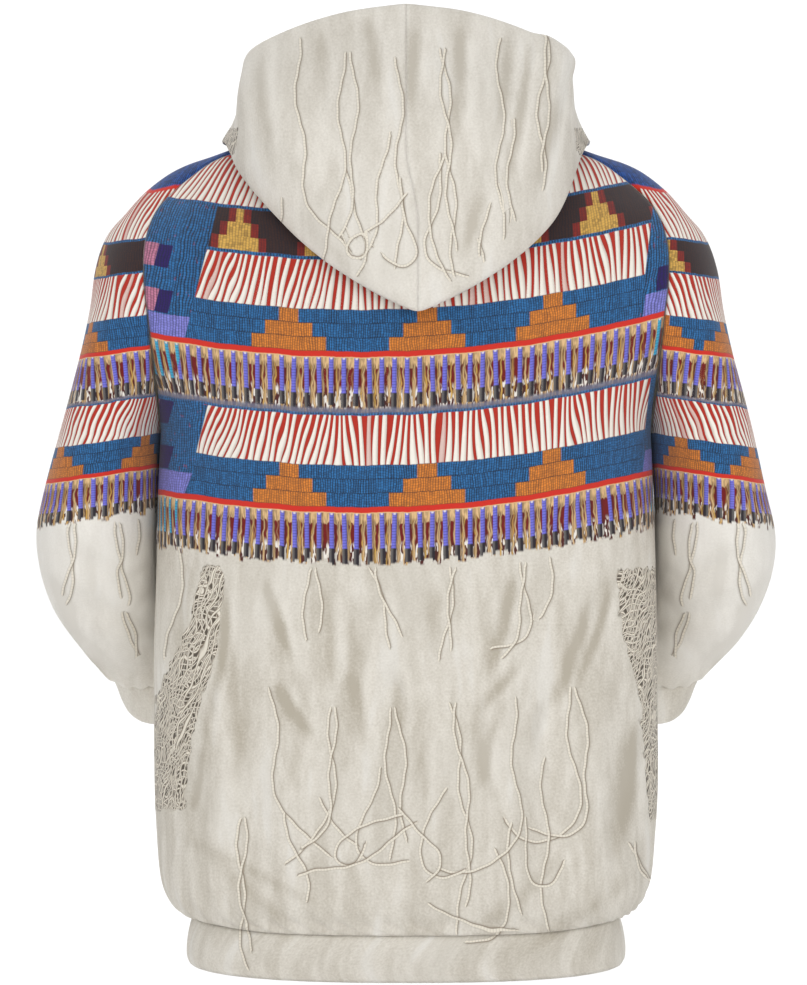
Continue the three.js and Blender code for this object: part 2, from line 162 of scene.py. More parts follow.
# Puckers where cloth is gathered into a band: millimetres from one to the next, how deep, how far they reach
BODY_PUCKERS = (23, 1.5, 34)
SLEEVE_PUCKERS = (17, 1.6, 30)
HEM_PUCKERS = (BODY_PUCKERS[0], 0.8, 18)
CUFF_PUCKERS = (SLEEVE_PUCKERS[0], 0.7, 20)
SEAM_WIDTH = 4              # how wide the strip beside a seam is that turns in
HOOD_SLIDE = 9.5            # how far the tip of the hood hangs to the right of the middle

# The print. Places are in the picture's units: across from the left, and down.
BACK_SEAT = (250.0, 354.0, 10.0, 28.0)   # where the foot of the upper fringe runs on the back
SLEEVE_SEAT = (149.0, 346.0, 0.15)
SLEEVE_DOWN = [
    (-240, -240), (-153, -190), (-110, -142), (-77, -98), (-75, -94), (-32, -45), (-1, -3), (3, 2.5),
    (8, 10), (48, 54), (50, 60), (89, 111), (119, 152.4), (123, 158), (128, 165.4), (166, 210), (400, 444),
]
# Middles of the stepped shapes on each sleeve, in the upper and the lower set, and of its gold shape
SLEEVE_MIDDLES = {2: ((75, 215), (43, 160), (84,)), 3: ((163, 76), (134, 42), (161,))}
STEPPED_MIDDLES = (288, 427, 554)       # middles of the stepped shapes in the beadwork
STEPPED_REPEAT = 260
GOLD_MIDDLES = (235, 325, 420, 522, 606)
GOLD_REPEAT = 92

THONG_SETS = tuple("thongs_" + letter for letter in "abcdefg")
FAR_OFF = (60.0, 60.0, 0.0)

# Loose thongs: across and down of the upper end, length, lean, curl of the lower end, and how many hang
# together. Lean and curl are in radians, 0 is straight down and more than 0 is towards the right.
THONGS = [
    (180, 550, 150, -0.15, 0.0, 1), (310, 570, 70, 0.0, 0.0, 2), (370, 570, 80, 0.3, 0.0, 2),
    (450, 570, 90, -0.1, 0.0, 2), (520, 565, 110, 0.05, -1.4, 2), (550, 560, 60, 0.0, -0.3, 1),
    (240, 820, 150, 0.0, 0.2, 2), (270, 690, 190, 0.05, 1.1, 1), (330, 710, 170, 0.0, -1.1, 2),
    (390, 710, 150, 0.05, 0.0, 2), (450, 705, 230, 0.12, -0.4, 2), (515, 700, 230, 0.05, -1.9, 1),
    (570, 690, 220, 0.1, -2.6, 2), (545, 760, 170, 0.0, 0.0, 1), (630, 845, 40, 0.3, 0.3, 2),
    (285, 815, 90, 0.3, -0.3, 1), (320, 800, 60, 0.7, 0.0, 1), (300, 875, 130, 1.9, 0.4, 1),
    (380, 770, 140, -0.25, 2.2, 1), (400, 815, 130, -1.1, 4.2, 1), (400, 810, 90, 0.9, -1.9, 1),
    (445, 790, 130, -0.35, 2.6, 1), (495, 850, 120, 0.2, -2.0, 1), (510, 825, 90, -0.1, 0.6, 1),
    (430, 905, 90, 1.0, 0.9, 1), (525, 820, 110, 0.2, 2.6, 1),
]
SLEEVE_THONGS = [
    (70, 525, 80, 0.0, -0.4, 2), (115, 525, 80, 0.1, 0.0, 2), (138, 522, 30, 0.0, 0.0, 1),
    (124, 616, 80, 0.3, 0.0, 2),
]
HOOD_THONGS = [
    (282, 200, 20, 0.0, 0.0, 1), (300, 40, 230, 0.05, 0.7, 1), (345, 55, 210, 0.0, -0.4, 2),
    (345, 170, 110, 0.4, -1.0, 1), (390, 135, 130, -0.1, -0.4, 1), (395, 60, 210, 0.0, 0.0, 1),
    (405, 195, 130, -0.9, 4.0, 1), (400, 180, 120, 0.3, -2.4, 1), (440, 155, 150, -0.2, 1.4, 2),
    (440, 50, 230, 0.05, 0.0, 2), (478, 240, 20, 0.1, 0.0, 1), (490, 205, 50, -0.1, 0.0, 1),
    (500, 40, 200, 0.0, 0.0, 1), (515, 120, 100, 0.0, 0.0, 1), (540, 30, 160, 0.0, 0.0, 2),
]
THONG_SWAY = 0.24           # how far a thong leans to and fro as it hangs
THONG_WAVE = 17.0           # one sway to and fro takes this length times a full turn in radians
THONG_APART = 5             # from one thong to the next that hangs with it

# Dark soft folds printed on the lower back, and where the tangled fringe hangs at each side
SHADES = [
    ([(263, 577), (276, 615), (289, 661)], 6, 0.55), ([(324, 587), (330, 640), (331, 693)], 7, 0.25),
    ([(437, 592), (434, 620), (429, 656)], 8, 0.3), ([(592, 592), (574, 650), (550, 714)], 7, 0.5),
    ([(275, 683), (292, 710), (312, 737)], 7, 0.5), ([(347, 672), (356, 700), (362, 747)], 8, 0.35),
    ([(395, 668), (400, 700), (398, 740)], 7, 0.3), ([(497, 715), (487, 750), (481, 792)], 6, 0.45),
    ([(543, 700), (536, 726), (531, 756)], 7, 0.35), ([(190, 560), (182, 620), (176, 668)], 7, 0.35),
    ([(226, 590), (222, 660), (206, 740)], 5, 0.4), ([(204, 745), (198, 790), (192, 812)], 4, 0.45),
    ([(613, 571), (597, 630), (571, 698)], 6, 0.45), ([(513, 571), (503, 625), (487, 677)], 7, 0.45),
    ([(518, 666), (498, 690), (476, 714)], 6, 0.4), ([(480, 700), (478, 740), (488, 790)], 8, 0.3),
    ([(634, 724), (632, 780), (624, 835)], 8, 0.35), ([(182, 835), (250, 868), (324, 908)], 7, 0.22),
    ([(205, 850), (250, 890), (300, 935)], 8, 0.2), ([(244, 800), (244, 850), (243, 900)], 2, 0.25),
    ([(640, 720), (622, 790), (615, 860)], 10, 0.25), ([(230, 640), (240, 720), (236, 800)], 10, 0.2),
    ([(350, 590), (356, 650), (352, 705)], 9, 0.2), ([(420, 690), (418, 740), (428, 800)], 9, 0.2),
    ([(560, 850), (520, 900), (470, 935)], 9, 0.18), ([(640, 870), (560, 930), (500, 960)], 10, 0.2),
    ([(210, 720), (214, 790), (204, 850)], 9, 0.2),
]
TANGLE_NECK = [(210, 130), (238, 128), (235, 150), (228, 160), (210, 165)]
TANGLE_LEFT = [
    (230, 545), (215, 660), (190, 740), (185, 810), (155, 810), (155, 700), (190, 620), (205, 545),
]
TANGLE_RIGHT = [(615, 545), (700, 545), (700, 820), (650, 820), (640, 700), (620, 620)]
SLEEVE_SHADES = [
    ([(152, 566), (138, 572), (122, 590)], 6, 0.35), ([(152, 590), (136, 604), (124, 640)], 6, 0.35),
    ([(60, 610), (84, 640), (118, 668)], 7, 0.3), ([(46, 570), (62, 600), (90, 626)], 7, 0.25),
    ([(150, 610), (146, 650), (152, 690)], 6, 0.3), ([(88, 540), (90, 570), (98, 600)], 6, 0.3),
]
HOOD_SHADES = [
    ([(260, 50), (264, 110), (274, 182)], 7, 0.4), ([(318, 26), (322, 70), (326, 110)], 8, 0.25),
    ([(365, 14), (372, 50), (376, 91)], 7, 0.4), ([(415, 27), (412, 70), (408, 118)], 7, 0.35),
    ([(460, 23), (458, 90), (451, 150)], 7, 0.5), ([(510, 27), (504, 90), (492, 150)], 7, 0.5),
    ([(529, 41), (520, 120), (506, 191)], 6, 0.45), ([(560, 91), (550, 140), (533, 191)], 7, 0.45),
    ([(484, 190), (470, 230), (460, 262)], 7, 0.35), ([(300, 200), (320, 240), (360, 270)], 8, 0.2),
]


def paint(red, green, blue):
    """A colour seen on a screen, as the linear values that Blender mixes."""
    shares = (red / 255, green / 255, blue / 255)
    return tuple(v / 12.92 if v <= 0.04 else ((v + 0.055) / 1.055) ** 2.4 for v in shares)


def mix(a, b, share):
    """The value at a share of the way from a to b."""
    return a + (b - a) * share


def ease(value, low, high):
    """A smooth step from 0 at low to 1 at high."""
    share = np.clip((value - low) / (high - low), 0, 1)
    return share * share * (3 - 2 * share)


def between(table, at):
    """The columns of a table at fractional rows, on smooth curves through the rows."""
    rows = np.asarray(table, float)
    at = np.clip(np.asarray(at, float), 0, len(rows) - 1)
    low = np.minimum(at.astype(int), len(rows) - 2)
    share = (at - low)[..., None]
    a = rows[np.maximum(low - 1, 0)]
    b = rows[low]
    c = rows[low + 1]
    d = rows[np.minimum(low + 2, len(rows) - 1)]
    cube = (3 * b - a - 3 * c + d) * share ** 3
    found = 0.5 * (2 * b + (c - a) * share + (2 * a - 5 * b + 4 * c - d) * share ** 2 + cube)
    return np.moveaxis(found, -1, 0)


# The forms of the pieces


def yoke_points(row, across, back):
    """Places on the back or front above the underarm; across runs from -1 to 1."""
    seam_x, seam_y, seam_z, back_y, back_z, front_y, front_z, _, _, _ = between(YOKE, row)
    low = ease(row, 4, UNDERARM)
    reach = mix(across, np.sin(across * math.pi / 2), low)
    side = np.abs(reach) ** mix(2.2, TRUNK_POWER, low)
    power = mix(1.5, TRUNK_POWER, low)
    middle_y = back_y if back else front_y
    middle_z = back_z if back else front_z
    y = mix(middle_y ** power, np.maximum(seam_y, 0) ** power, side) ** (1 / power)
    z = mix(seam_z, middle_z, 1 - reach * reach)
    return np.stack([seam_x * reach, y if back else -y, z], -1)


def level_points(section, across, back):
    """Places on a level section of the body, which is a squared oval."""
    side, back_y, front_y, z = section
    reach = np.sin(across * math.pi / 2)
    rest = np.maximum(0, 1 - np.abs(reach) ** TRUNK_POWER) ** (1 / TRUNK_POWER)
    y = back_y * rest if back else -front_y * rest
    return np.stack([side * reach, y, z + 0 * reach], -1)


def panel_points(row, across, back):
    """Places on the back or front, from the neckline at row 0 to the seam of the hem band."""
    high = yoke_points(np.minimum(row, UNDERARM), across, back)
    low = level_points(between(TRUNK, np.maximum(row - UNDERARM, 0)), across, back)
    points = np.where((row <= UNDERARM)[..., None], high, low)
    out = 0
    for x, wide, stand, top, full in (BACK_FOLDS if back else FRONT_FOLDS):
        start = ease(-points[..., 2], -top, -full)
        end = 1 - ease(-points[..., 2], -full, -FOLD_END)
        out = out + stand * start * end * np.exp(-((points[..., 0] - x) / wide) ** 2)
    out = out * np.maximum(np.cos(across * math.pi / 2), 0) ** 0.5
    points[..., 1] += out if back else -out
    return points


def cap_points(row, turn_share):
    """Places on the left saddle and cap; turn_share runs from 1 at the back to -1 at the front."""
    seam_x, _, seam_z, _, _, _, _, top_x, top_z, fullness = between(YOKE, row)
    up_x = top_x - seam_x
    up_z = top_z - seam_z
    height = np.hypot(up_x, up_z)
    whole = np.arange(UNDERARM + 1)
    seam_at = np.asarray(YOKE, float)
    opening = np.arcsin(np.minimum(1, seam_at[:, 1] / seam_at[:, 9]))
    wraps = np.where(whole > FULL_SECTION_ROW, math.pi - opening, opening)
    wrap = between(wraps[:, None], row)[0]
    rise = height / (1 - np.cos(wrap))
    turn = wrap * turn_share
    along = (height - rise + rise * np.cos(turn)) / height
    return np.stack([seam_x + up_x * along, fullness * np.sin(turn), seam_z + up_z * along], -1)


def arm_points(section, turn_in, turn_share):
    """Places on a closed section of the left sleeve."""
    x, y, z, wide, deep, pitch, crease = section
    pitch = np.radians(pitch)
    turn_in = np.radians(turn_in)
    turn = math.pi * turn_share
    out = wide * np.cos(turn)
    back = (deep + crease * np.maximum(0, -np.sin(turn))) * np.sin(turn)
    return np.stack([
        x + np.cos(turn_in) * out + np.sin(turn_in) * np.cos(pitch) * back,
        y - np.sin(turn_in) * out + np.cos(turn_in) * np.cos(pitch) * back,
        z - np.sin(pitch) * back + 0 * out,
    ], -1)


def sleeve_points(row, turn_share):
    """Places on the left sleeve, from the neck at row 0 over the underarm to the wrist."""
    cap = cap_points(np.minimum(row, UNDERARM), turn_share)
    at = np.maximum(row - UNDERARM, 0)
    arm = arm_points(between(ARM, at), ARM_TURN_IN * at / (len(ARM) - 1), turn_share)
    return np.where((row < UNDERARM)[..., None], cap, arm)


def cuff_points(row, turn_share):
    """Places on the left cuff, which goes on from the sleeve's end; row runs from 0 to 4."""
    x, y, z, _, _, pitch, _ = ARM[-1]
    lean = math.radians(pitch)
    turn = math.radians(ARM_TURN_IN)
    along = (-math.sin(turn) * math.sin(lean), -math.cos(turn) * math.sin(lean), -math.cos(lean))
    down = 0.3 + CUFF_LENGTH * row / (len(CUFF_RADII) - 1)
    radius = between(np.asarray(CUFF_RADII)[:, None], row)[0]
    middle = (x + along[0] * down, y + along[1] * down, z + along[2] * down)
    section = (*middle, radius, radius, pitch, 0 * radius)
    return arm_points(section, ARM_TURN_IN, turn_share)


def hem_points(row, around):
    """Places on the hem band; around runs from 0 at one side over the back to 2 and on to 4."""
    section = between(HEM, row)
    back = level_points(section, 1 - np.minimum(around, 2), True)
    front = level_points(section, np.maximum(around, 2) - 3, False)
    return np.where((around <= 2)[..., None], back, front)


def curve_through(points, count):
    """Even steps on a centripetal curve through a few points, given as (point, loop, xyz)."""
    p = np.asarray(points, float)
    p = np.concatenate([2 * p[:1] - p[1:2], p, 2 * p[-1:] - p[-2:-1]])
    knots = np.maximum(np.sqrt(np.linalg.norm(np.diff(p, axis=0), axis=-1)), 1e-4)
    fine = []
    for i in range(1, len(p) - 2):
        before, here, after = knots[i - 1], knots[i], knots[i + 1]
        a, b, c, d = p[i - 1:i + 3]
        slope_b = ((b - a) / before[..., None] - (c - a) / (before + here)[..., None]
                   + (c - b) / here[..., None]) * here[..., None]
        slope_c = ((c - b) / here[..., None] - (d - b) / (here + after)[..., None]
                   + (d - c) / after[..., None]) * here[..., None]
        for share in np.arange(24) / 24:
            fine.append(
                (2 * share ** 3 - 3 * share ** 2 + 1) * b + (share ** 3 - 2 * share ** 2 + share) * slope_b
                + (3 * share ** 2 - 2 * share ** 3) * c + (share ** 3 - share ** 2) * slope_c)
    fine.append(p[-2])
    fine = np.array(fine)
    steps = np.linalg.norm(np.diff(fine, axis=0), axis=-1)
    length = np.concatenate([np.zeros((1,) + steps.shape[1:]), np.cumsum(steps, axis=0)])
    even = np.empty((count,) + fine.shape[1:])
    for k in range(fine.shape[1]):
        wanted = np.linspace(0, length[-1, k], count)
        for axis in range(3):
            even[:, k, axis] = np.interp(wanted, length[:, k], fine[:, k, axis])
    return even


def hood_grid(rows, columns):
    """The left half of the hood: rows from the neck seam over the fold and the foot to the rim, and
    columns from the middle of the back to the middle of the front."""
    half = np.linspace(0, 1, 60)
    back = yoke_points(0 * half, half, True)
    cap = cap_points(0 * half, 1 - 2 * half)
    front = yoke_points(0 * half, 1 - half, False)
    neckline = np.concatenate([back, cap[1:-1], front])
    steps = np.concatenate([[0], np.cumsum(np.linalg.norm(np.diff(neckline, axis=0), axis=1))])
    loops = between(HOOD, np.linspace(0, len(HOOD) - 1, columns))
    share = np.clip(loops[0], 0, 1) * steps[-1]
    seam = np.stack([np.interp(share, steps, neckline[:, axis]) for axis in range(3)], -1)
    seam[:, 2] += 0.6
    stations = [seam] + [np.stack(loops[at:at + 3], -1) for at in (1, 4, 7, 10)]
    return curve_through(stations, rows)


# Fine grids of cloth


def arc(points, axis):
    """How far each place of a grid is along its row or column, in millimetres."""
    steps = np.linalg.norm(np.diff(points, axis=axis), axis=-1)
    shape = list(steps.shape)
    shape[axis] = 1
    return np.concatenate([np.zeros(shape), np.cumsum(steps, axis=axis)], axis=axis)


def even_grid(surface, last_row, ends, step):
    """A grid of about even steps on a surface given by a function of row and across."""
    start, stop = ends
    row = np.linspace(0, last_row, int(last_row * 12) + 1)[:, None]
    rough = surface(row + 0 * np.zeros((1, 41)), np.linspace(start, stop, 41)[None, :] + 0 * row)
    down = arc(rough, 0)[:, 12:29].mean(axis=1)
    rows = np.interp(np.linspace(0, down[-1], round(down[-1] / step) + 1), down, row[:, 0])
    fine = np.linspace(start, stop, 721)[None, :] + 0 * rows[:, None]
    length = arc(surface(rows[:, None] + 0 * fine, fine), 1)
    columns = round(np.median(length[:, -1]) / step) + 1
    across = np.array([
        np.interp(np.linspace(0, length[i, -1], columns), length[i], fine[i]) for i in range(len(rows))])
    return surface(rows[:, None] + 0 * across, across), rows, across


def smoothed(points, times):
    """The grid with small steps from row to row softened; the first and last rows stay."""
    for _ in range(times):
        points[1:-1] = 0.25 * points[:-2] + 0.5 * points[1:-1] + 0.25 * points[2:]
    return points


def grid_normals(points, sign, tube_from=None):
    """The direction out of the cloth at each place of a grid."""
    down = np.gradient(points, axis=0)
    right = np.gradient(points, axis=1)
    if tube_from is not None:
        joined = points[tube_from:, 1] - points[tube_from:, -2]
        right[tube_from:, 0] = joined
        right[tube_from:, -1] = joined
    normals = np.cross(down, right) * sign
    return normals / np.maximum(np.linalg.norm(normals, axis=-1, keepdims=True), 1e-9)


def ridge(x, z, crease):
    """The height of one given crease at places on a face."""
    x0, z0, x1, z1, half, high = crease
    along = np.array([x1 - x0, z1 - z0], float)
    share = ((x - x0) * along[0] + (z - z0) * along[1]) / (along @ along)
    off = np.hypot(x - x0 - along[0] * np.clip(share, 0, 1), z - z0 - along[1] * np.clip(share, 0, 1))
    fade = ease(share, -0.05, 0.3) * ease(1 - share, -0.1, 0.2)
    return high * fade * np.exp(-(off / half) ** 2)


def undulation(points, seed, high, length):
    """Slow unevenness of cloth that hangs on a body, of about a length in millimetres."""
    rng = np.random.default_rng(seed)
    total = 0
    for _ in range(7):
        direction = rng.normal(size=3)
        direction *= 2 * math.pi / (length * rng.uniform(0.7, 1.5)) / np.linalg.norm(direction)
        total = total + np.sin(points @ direction + rng.uniform(0, 2 * math.pi))
    return high * total / 3


def gathers(around, off, settings, seed):
    """Puckers beside a band: around is the place along the band and off is how far away, in millimetres."""
    spacing, deep, reach = settings
    rng = np.random.default_rng(seed)
    wobble = sum(
        rng.uniform(0.5, 1) * np.sin(around / rng.uniform(25, 90) + rng.uniform(0, 6)) for _ in range(4))
    wave = np.sin(2 * math.pi * around / spacing + 1.6 * wobble)
    return deep * wave * np.exp(-off / reach)


def levelled(points, off, reach, sizes):
    """How far the cloth stands out beside the hem seam, so that it runs level there except at the sides."""
    middle = 1 - ease(np.abs(points[..., 0]), 110, 180)
    out = sizes.level_hem * 1000 * middle * (1 - ease(off, 0, reach))
    return np.stack([0 * out, out * np.sign(points[..., 1]), 0 * out], -1)


def rolled(points, sides, deep, width):
    """How far the cloth turns in along the seam edges named in sides."""
    right = arc(points, 1)
    down = arc(points, 0)
    off = np.full(points.shape[:2], 1e3)
    if "left" in sides:
        off = np.minimum(off, right)
    if "right" in sides:
        off = np.minimum(off, right[:, -1:] - right)
    if "top" in sides:
        off = np.minimum(off, down)
    if "bottom" in sides:
        off = np.minimum(off, down[-1:] - down)
    return -deep * (1 - ease(off, 0, width))


# The print and the cloth as node groups


class Wire:
    """A number in a node tree, so that sums read as sums."""

    def __init__(self, pen, socket):
        self.pen = pen
        self.socket = socket

    def __add__(self, other):
        return self.pen.math("ADD", self, other)

    def __sub__(self, other):
        return self.pen.math("SUBTRACT", self, other)

    def __rsub__(self, other):
        return self.pen.math("SUBTRACT", other, self)

    def __mul__(self, other):
        return self.pen.math("MULTIPLY", self, other)

    def __truediv__(self, other):
        return self.pen.math("DIVIDE", self, other)

    def __abs__(self):
        return self.pen.math("ABSOLUTE", self)

    __radd__ = __add__
    __rmul__ = __mul__

    def above(self, other):
        """1 where this is above the other."""
        return self.pen.math("GREATER_THAN", self, other)

    def floor(self):
        """The whole number below."""
        return self.pen.math("FLOOR", self)

    def part(self):
        """What is left above the whole number."""
        return self.pen.math("FRACT", self)

    def ease(self, low, high):
        """A smooth step from 0 at low to 1 at high; low may be the larger."""
        node = self.pen.node("ShaderNodeMapRange", interpolation_type="SMOOTHSTEP")
        self.pen.feed(node.inputs["Value"], self)
        self.pen.feed(node.inputs["From Min"], low)
        self.pen.feed(node.inputs["From Max"], high)
        return Wire(self.pen, node.outputs["Result"])


class Pen:
    """Adds nodes to one tree."""

    def __init__(self, tree):
        self.tree = tree

    def node(self, kind, **settings):
        """A new node with these settings."""
        made = self.tree.nodes.new(kind)
        for name, value in settings.items():
            setattr(made, name, value)
        return made

    def feed(self, socket, value):
        """Joins a wire to a socket, or sets its own value."""
        if isinstance(value, Wire):
            self.tree.links.new(value.socket, socket)
        elif isinstance(value, tuple):
            socket.default_value = (*value[:3], 1)[:len(socket.default_value)]
        else:
            socket.default_value = value

    def math(self, operation, *values):
        """The result of one sum or comparison of these values."""
        made = self.node("ShaderNodeMath", operation=operation)
        for socket, value in zip(made.inputs, values):
            self.feed(socket, value)
        return Wire(self, made.outputs[0])

    def place(self, x, y, z=0.0):
        """Three numbers as one place."""
        made = self.node("ShaderNodeCombineXYZ")
        for socket, value in zip(made.inputs, (x, y, z)):
            self.feed(socket, value)
        return Wire(self, made.outputs[0])

    def noise(self, x, y, z=0.0, detail=1.0):
        """Soft noise about 0.5, one blot to a unit."""
        made = self.node("ShaderNodeTexNoise")
        self.feed(made.inputs["Vector"], self.place(x, y, z))
        made.inputs["Scale"].default_value = 1.0
        made.inputs["Detail"].default_value = detail
        return Wire(self, made.outputs["Fac"])

    def chance(self, x, y=0.0, z=0.0):
        """Three separate random numbers from 0 to 1 for each cell."""
        made = self.node("ShaderNodeTexWhiteNoise", noise_dimensions="3D")
        self.feed(made.inputs["Vector"], self.place(x, y, z))
        split = self.node("ShaderNodeSeparateColor")
        self.tree.links.new(made.outputs["Color"], split.inputs[0])
        return [Wire(self, socket) for socket in split.outputs]

    def blend(self, share, a, b):
        """Colour a where share is 0 and b where it is 1."""
        made = self.node("ShaderNodeMix", data_type="RGBA")
        self.feed(made.inputs[0], share)
        self.feed(made.inputs[6], a)
        self.feed(made.inputs[7], b)
        return Wire(self, made.outputs[2])

    def pick(self, share, a, b):
        """Number a where share is 0 and b where it is 1."""
        made = self.node("ShaderNodeMix", data_type="FLOAT")
        for socket, value in zip((made.inputs[0], made.inputs[2], made.inputs[3]), (share, a, b)):
            self.feed(socket, value)
        return Wire(self, made.outputs[0])

    def inside(self, value, low, high, soft=0.5):
        """1 between low and high, with soft ends."""
        return value.ease(low - soft, low + soft) * value.ease(high + soft, high - soft)

    def call(self, name, **values):
        """A node group of that name, with its inputs fed by name; returns its outputs by name."""
        made = self.node("ShaderNodeGroup", node_tree=bpy.data.node_groups[name])
        for key, value in values.items():
            self.feed(made.inputs[key], value)
        return {socket.name: Wire(self, socket) for socket in made.outputs}

    def attribute(self, name):
        """The three numbers of an attribute of the cloth."""
        made = self.node("ShaderNodeAttribute", attribute_name=name)
        split = self.node("ShaderNodeSeparateXYZ")
        self.tree.links.new(made.outputs["Vector"], split.inputs[0])
        return [Wire(self, socket) for socket in split.outputs]


def new_group(name, numbers, colours, outputs):
    """An empty node group; returns its pen, its inputs by name and its output node."""
    tree = bpy.data.node_groups.new(name, "ShaderNodeTree")
    for key in numbers:
        tree.interface.new_socket(key, in_out="INPUT", socket_type="NodeSocketFloat")
    for key in colours:
        socket = tree.interface.new_socket(key, in_out="INPUT", socket_type="NodeSocketColor")
        if key != "Under":
            socket.default_value = (*getattr(bpy.context.scene.hoodie_colours, key), 1)
    for key, kind in outputs.items():
        tree.interface.new_socket(key, in_out="OUTPUT", socket_type=kind)
    pen = Pen(tree)
    entry = pen.node("NodeGroupInput")
    given = {key: Wire(pen, entry.outputs[key]) for key in [*numbers, *colours]}
    return pen, given, pen.node("NodeGroupOutput")


COLOUR = {"Colour": "NodeSocketColor"}

# Fixed tints of the print, as linear red, green and blue
BETWEEN_STRIPS = (0.09, 0.012, 0.008)
BETWEEN_BEADS = (0.012, 0.016, 0.026)
TUBE_SHADE = (0.05, 0.045, 0.2)
TUBE_SEAM = (0.04, 0.035, 0.14)
TUBE_SHADOW = (0.03, 0.015, 0.012)
BETWEEN_SETS = (0.16, 0.17, 0.24)
HIDE_STAIN = (0.70, 0.67, 0.61)
HIDE_PALE = (0.82, 0.81, 0.78)
# Painted light: a lighter hide that stands in for light on the rear of the sleeves and on the hood
HIDE_PAINTED_LIGHT = (0.9, 0.88, 0.84)

# Sizes of the print, in its own units
STRIP_PITCH = 7.3
TUBE_PITCH = 12.6
BEAD_LENGTH = 2.6
SET_HEIGHT = 155.4          # from the upper set of bands to the lower set
LOWER_SET = 57.5            # the lower set starts here
PRINT_END = 204             # the lowest fringe ends from here on

# Heights in a set of bands, from the line above its fringe; less than 0 is above it
TOP_STRIPS = -190
TOP_STRIPS_HIGH = 48
TOP_STRIPS_END = -142
DARK_ROW = -139
DARK_STEP = 13.7            # one row of the gold shapes
STRIPS = -94
STRIPS_HIGH = 49
BEADWORK = -45
STEP_HEIGHT = 14            # one row of the stepped shapes
RED_LINE = -3


def make_strips():
    """White strips laid side by side on red; Share runs from 0 at their top to 1 at their foot."""
    colours = ["strip", "strip_shade", "red"]
    pen, given, out = new_group("Strips", ["Across", "Share", "Random"], colours, COLOUR)
    share = given["Share"]
    lean = given["Across"].ease(470, 190) * 20 - 3
    fan = (pen.noise(given["Across"] * 0.021, given["Random"], 3.0) - 0.5) * 56 + lean
    bow = (pen.noise(given["Across"] * 0.05, given["Random"], 6.0) - 0.5) * 34
    cell = (given["Across"] + fan * (share - 0.6) + bow * share * (1 - share)) / STRIP_PITCH
    number = cell.floor()
    random = pen.chance(number, given["Random"])
    off = (cell - number - 0.5) * STRIP_PITCH
    off = off - (random[1] - 0.5) * (share - 0.5) * 2.4 - (random[2] - 0.5) * 1.2
    half = (random[0] * 0.45 + 2.1) * (share * 0.52 + 0.66)
    side = abs(off) / half
    lit = pen.blend((off / half).ease(-0.2, 1.05) * 0.55, given["strip"], given["strip_shade"])
    lit = pen.blend(side.ease(0.6, 1.05) * 0.35, lit, given["strip_shade"])
    pinkish = random[2].ease(0.96, 0.97) * 0.4
    lit = pen.blend(pinkish, lit, given["red"])
    gap = pen.blend(side.ease(1.5, 0.95) * 0.45, given["red"], BETWEEN_STRIPS)
    shown = pen.blend(side.ease(1.14, 0.9), gap, lit)
    pen.feed(out.inputs["Colour"], shown)


def make_strings():
    """Upright strings of small beads; Pitch is their width, and Gap is 1 between two of them."""
    numbers = {"Gap": "NodeSocketFloat", "Tone": "NodeSocketFloat", "Odd": "NodeSocketFloat"}
    pen, given, out = new_group("Bead strings", ["Across", "Down", "Lane", "Pitch", "Sway"], [], numbers)
    drift = pen.noise(given["Across"] * 0.05, given["Down"] * 0.05, given["Lane"] * 3.7)
    sway = (drift - 0.5) * given["Sway"]
    cell = (given["Across"] + sway) / given["Pitch"] + given["Lane"] * 0.37
    number = cell.floor()
    off = abs(cell - number - 0.5)
    random = pen.chance(number, given["Lane"])
    place = given["Down"] / BEAD_LENGTH + random[0] * 3
    bead = abs(place.part() - 0.5)
    each = pen.chance(place.floor(), number, given["Lane"])
    gap = off.ease(0.12, 0.46) * (random[1] * 0.45 + 0.55) + bead.ease(0.24, 0.5) * 0.42
    pen.feed(out.inputs["Gap"], gap)
    pen.feed(out.inputs["Tone"], (random[2] - 0.5) * 0.5 + (each[0] - 0.5) * 0.9)
    pen.feed(out.inputs["Odd"], each[1])


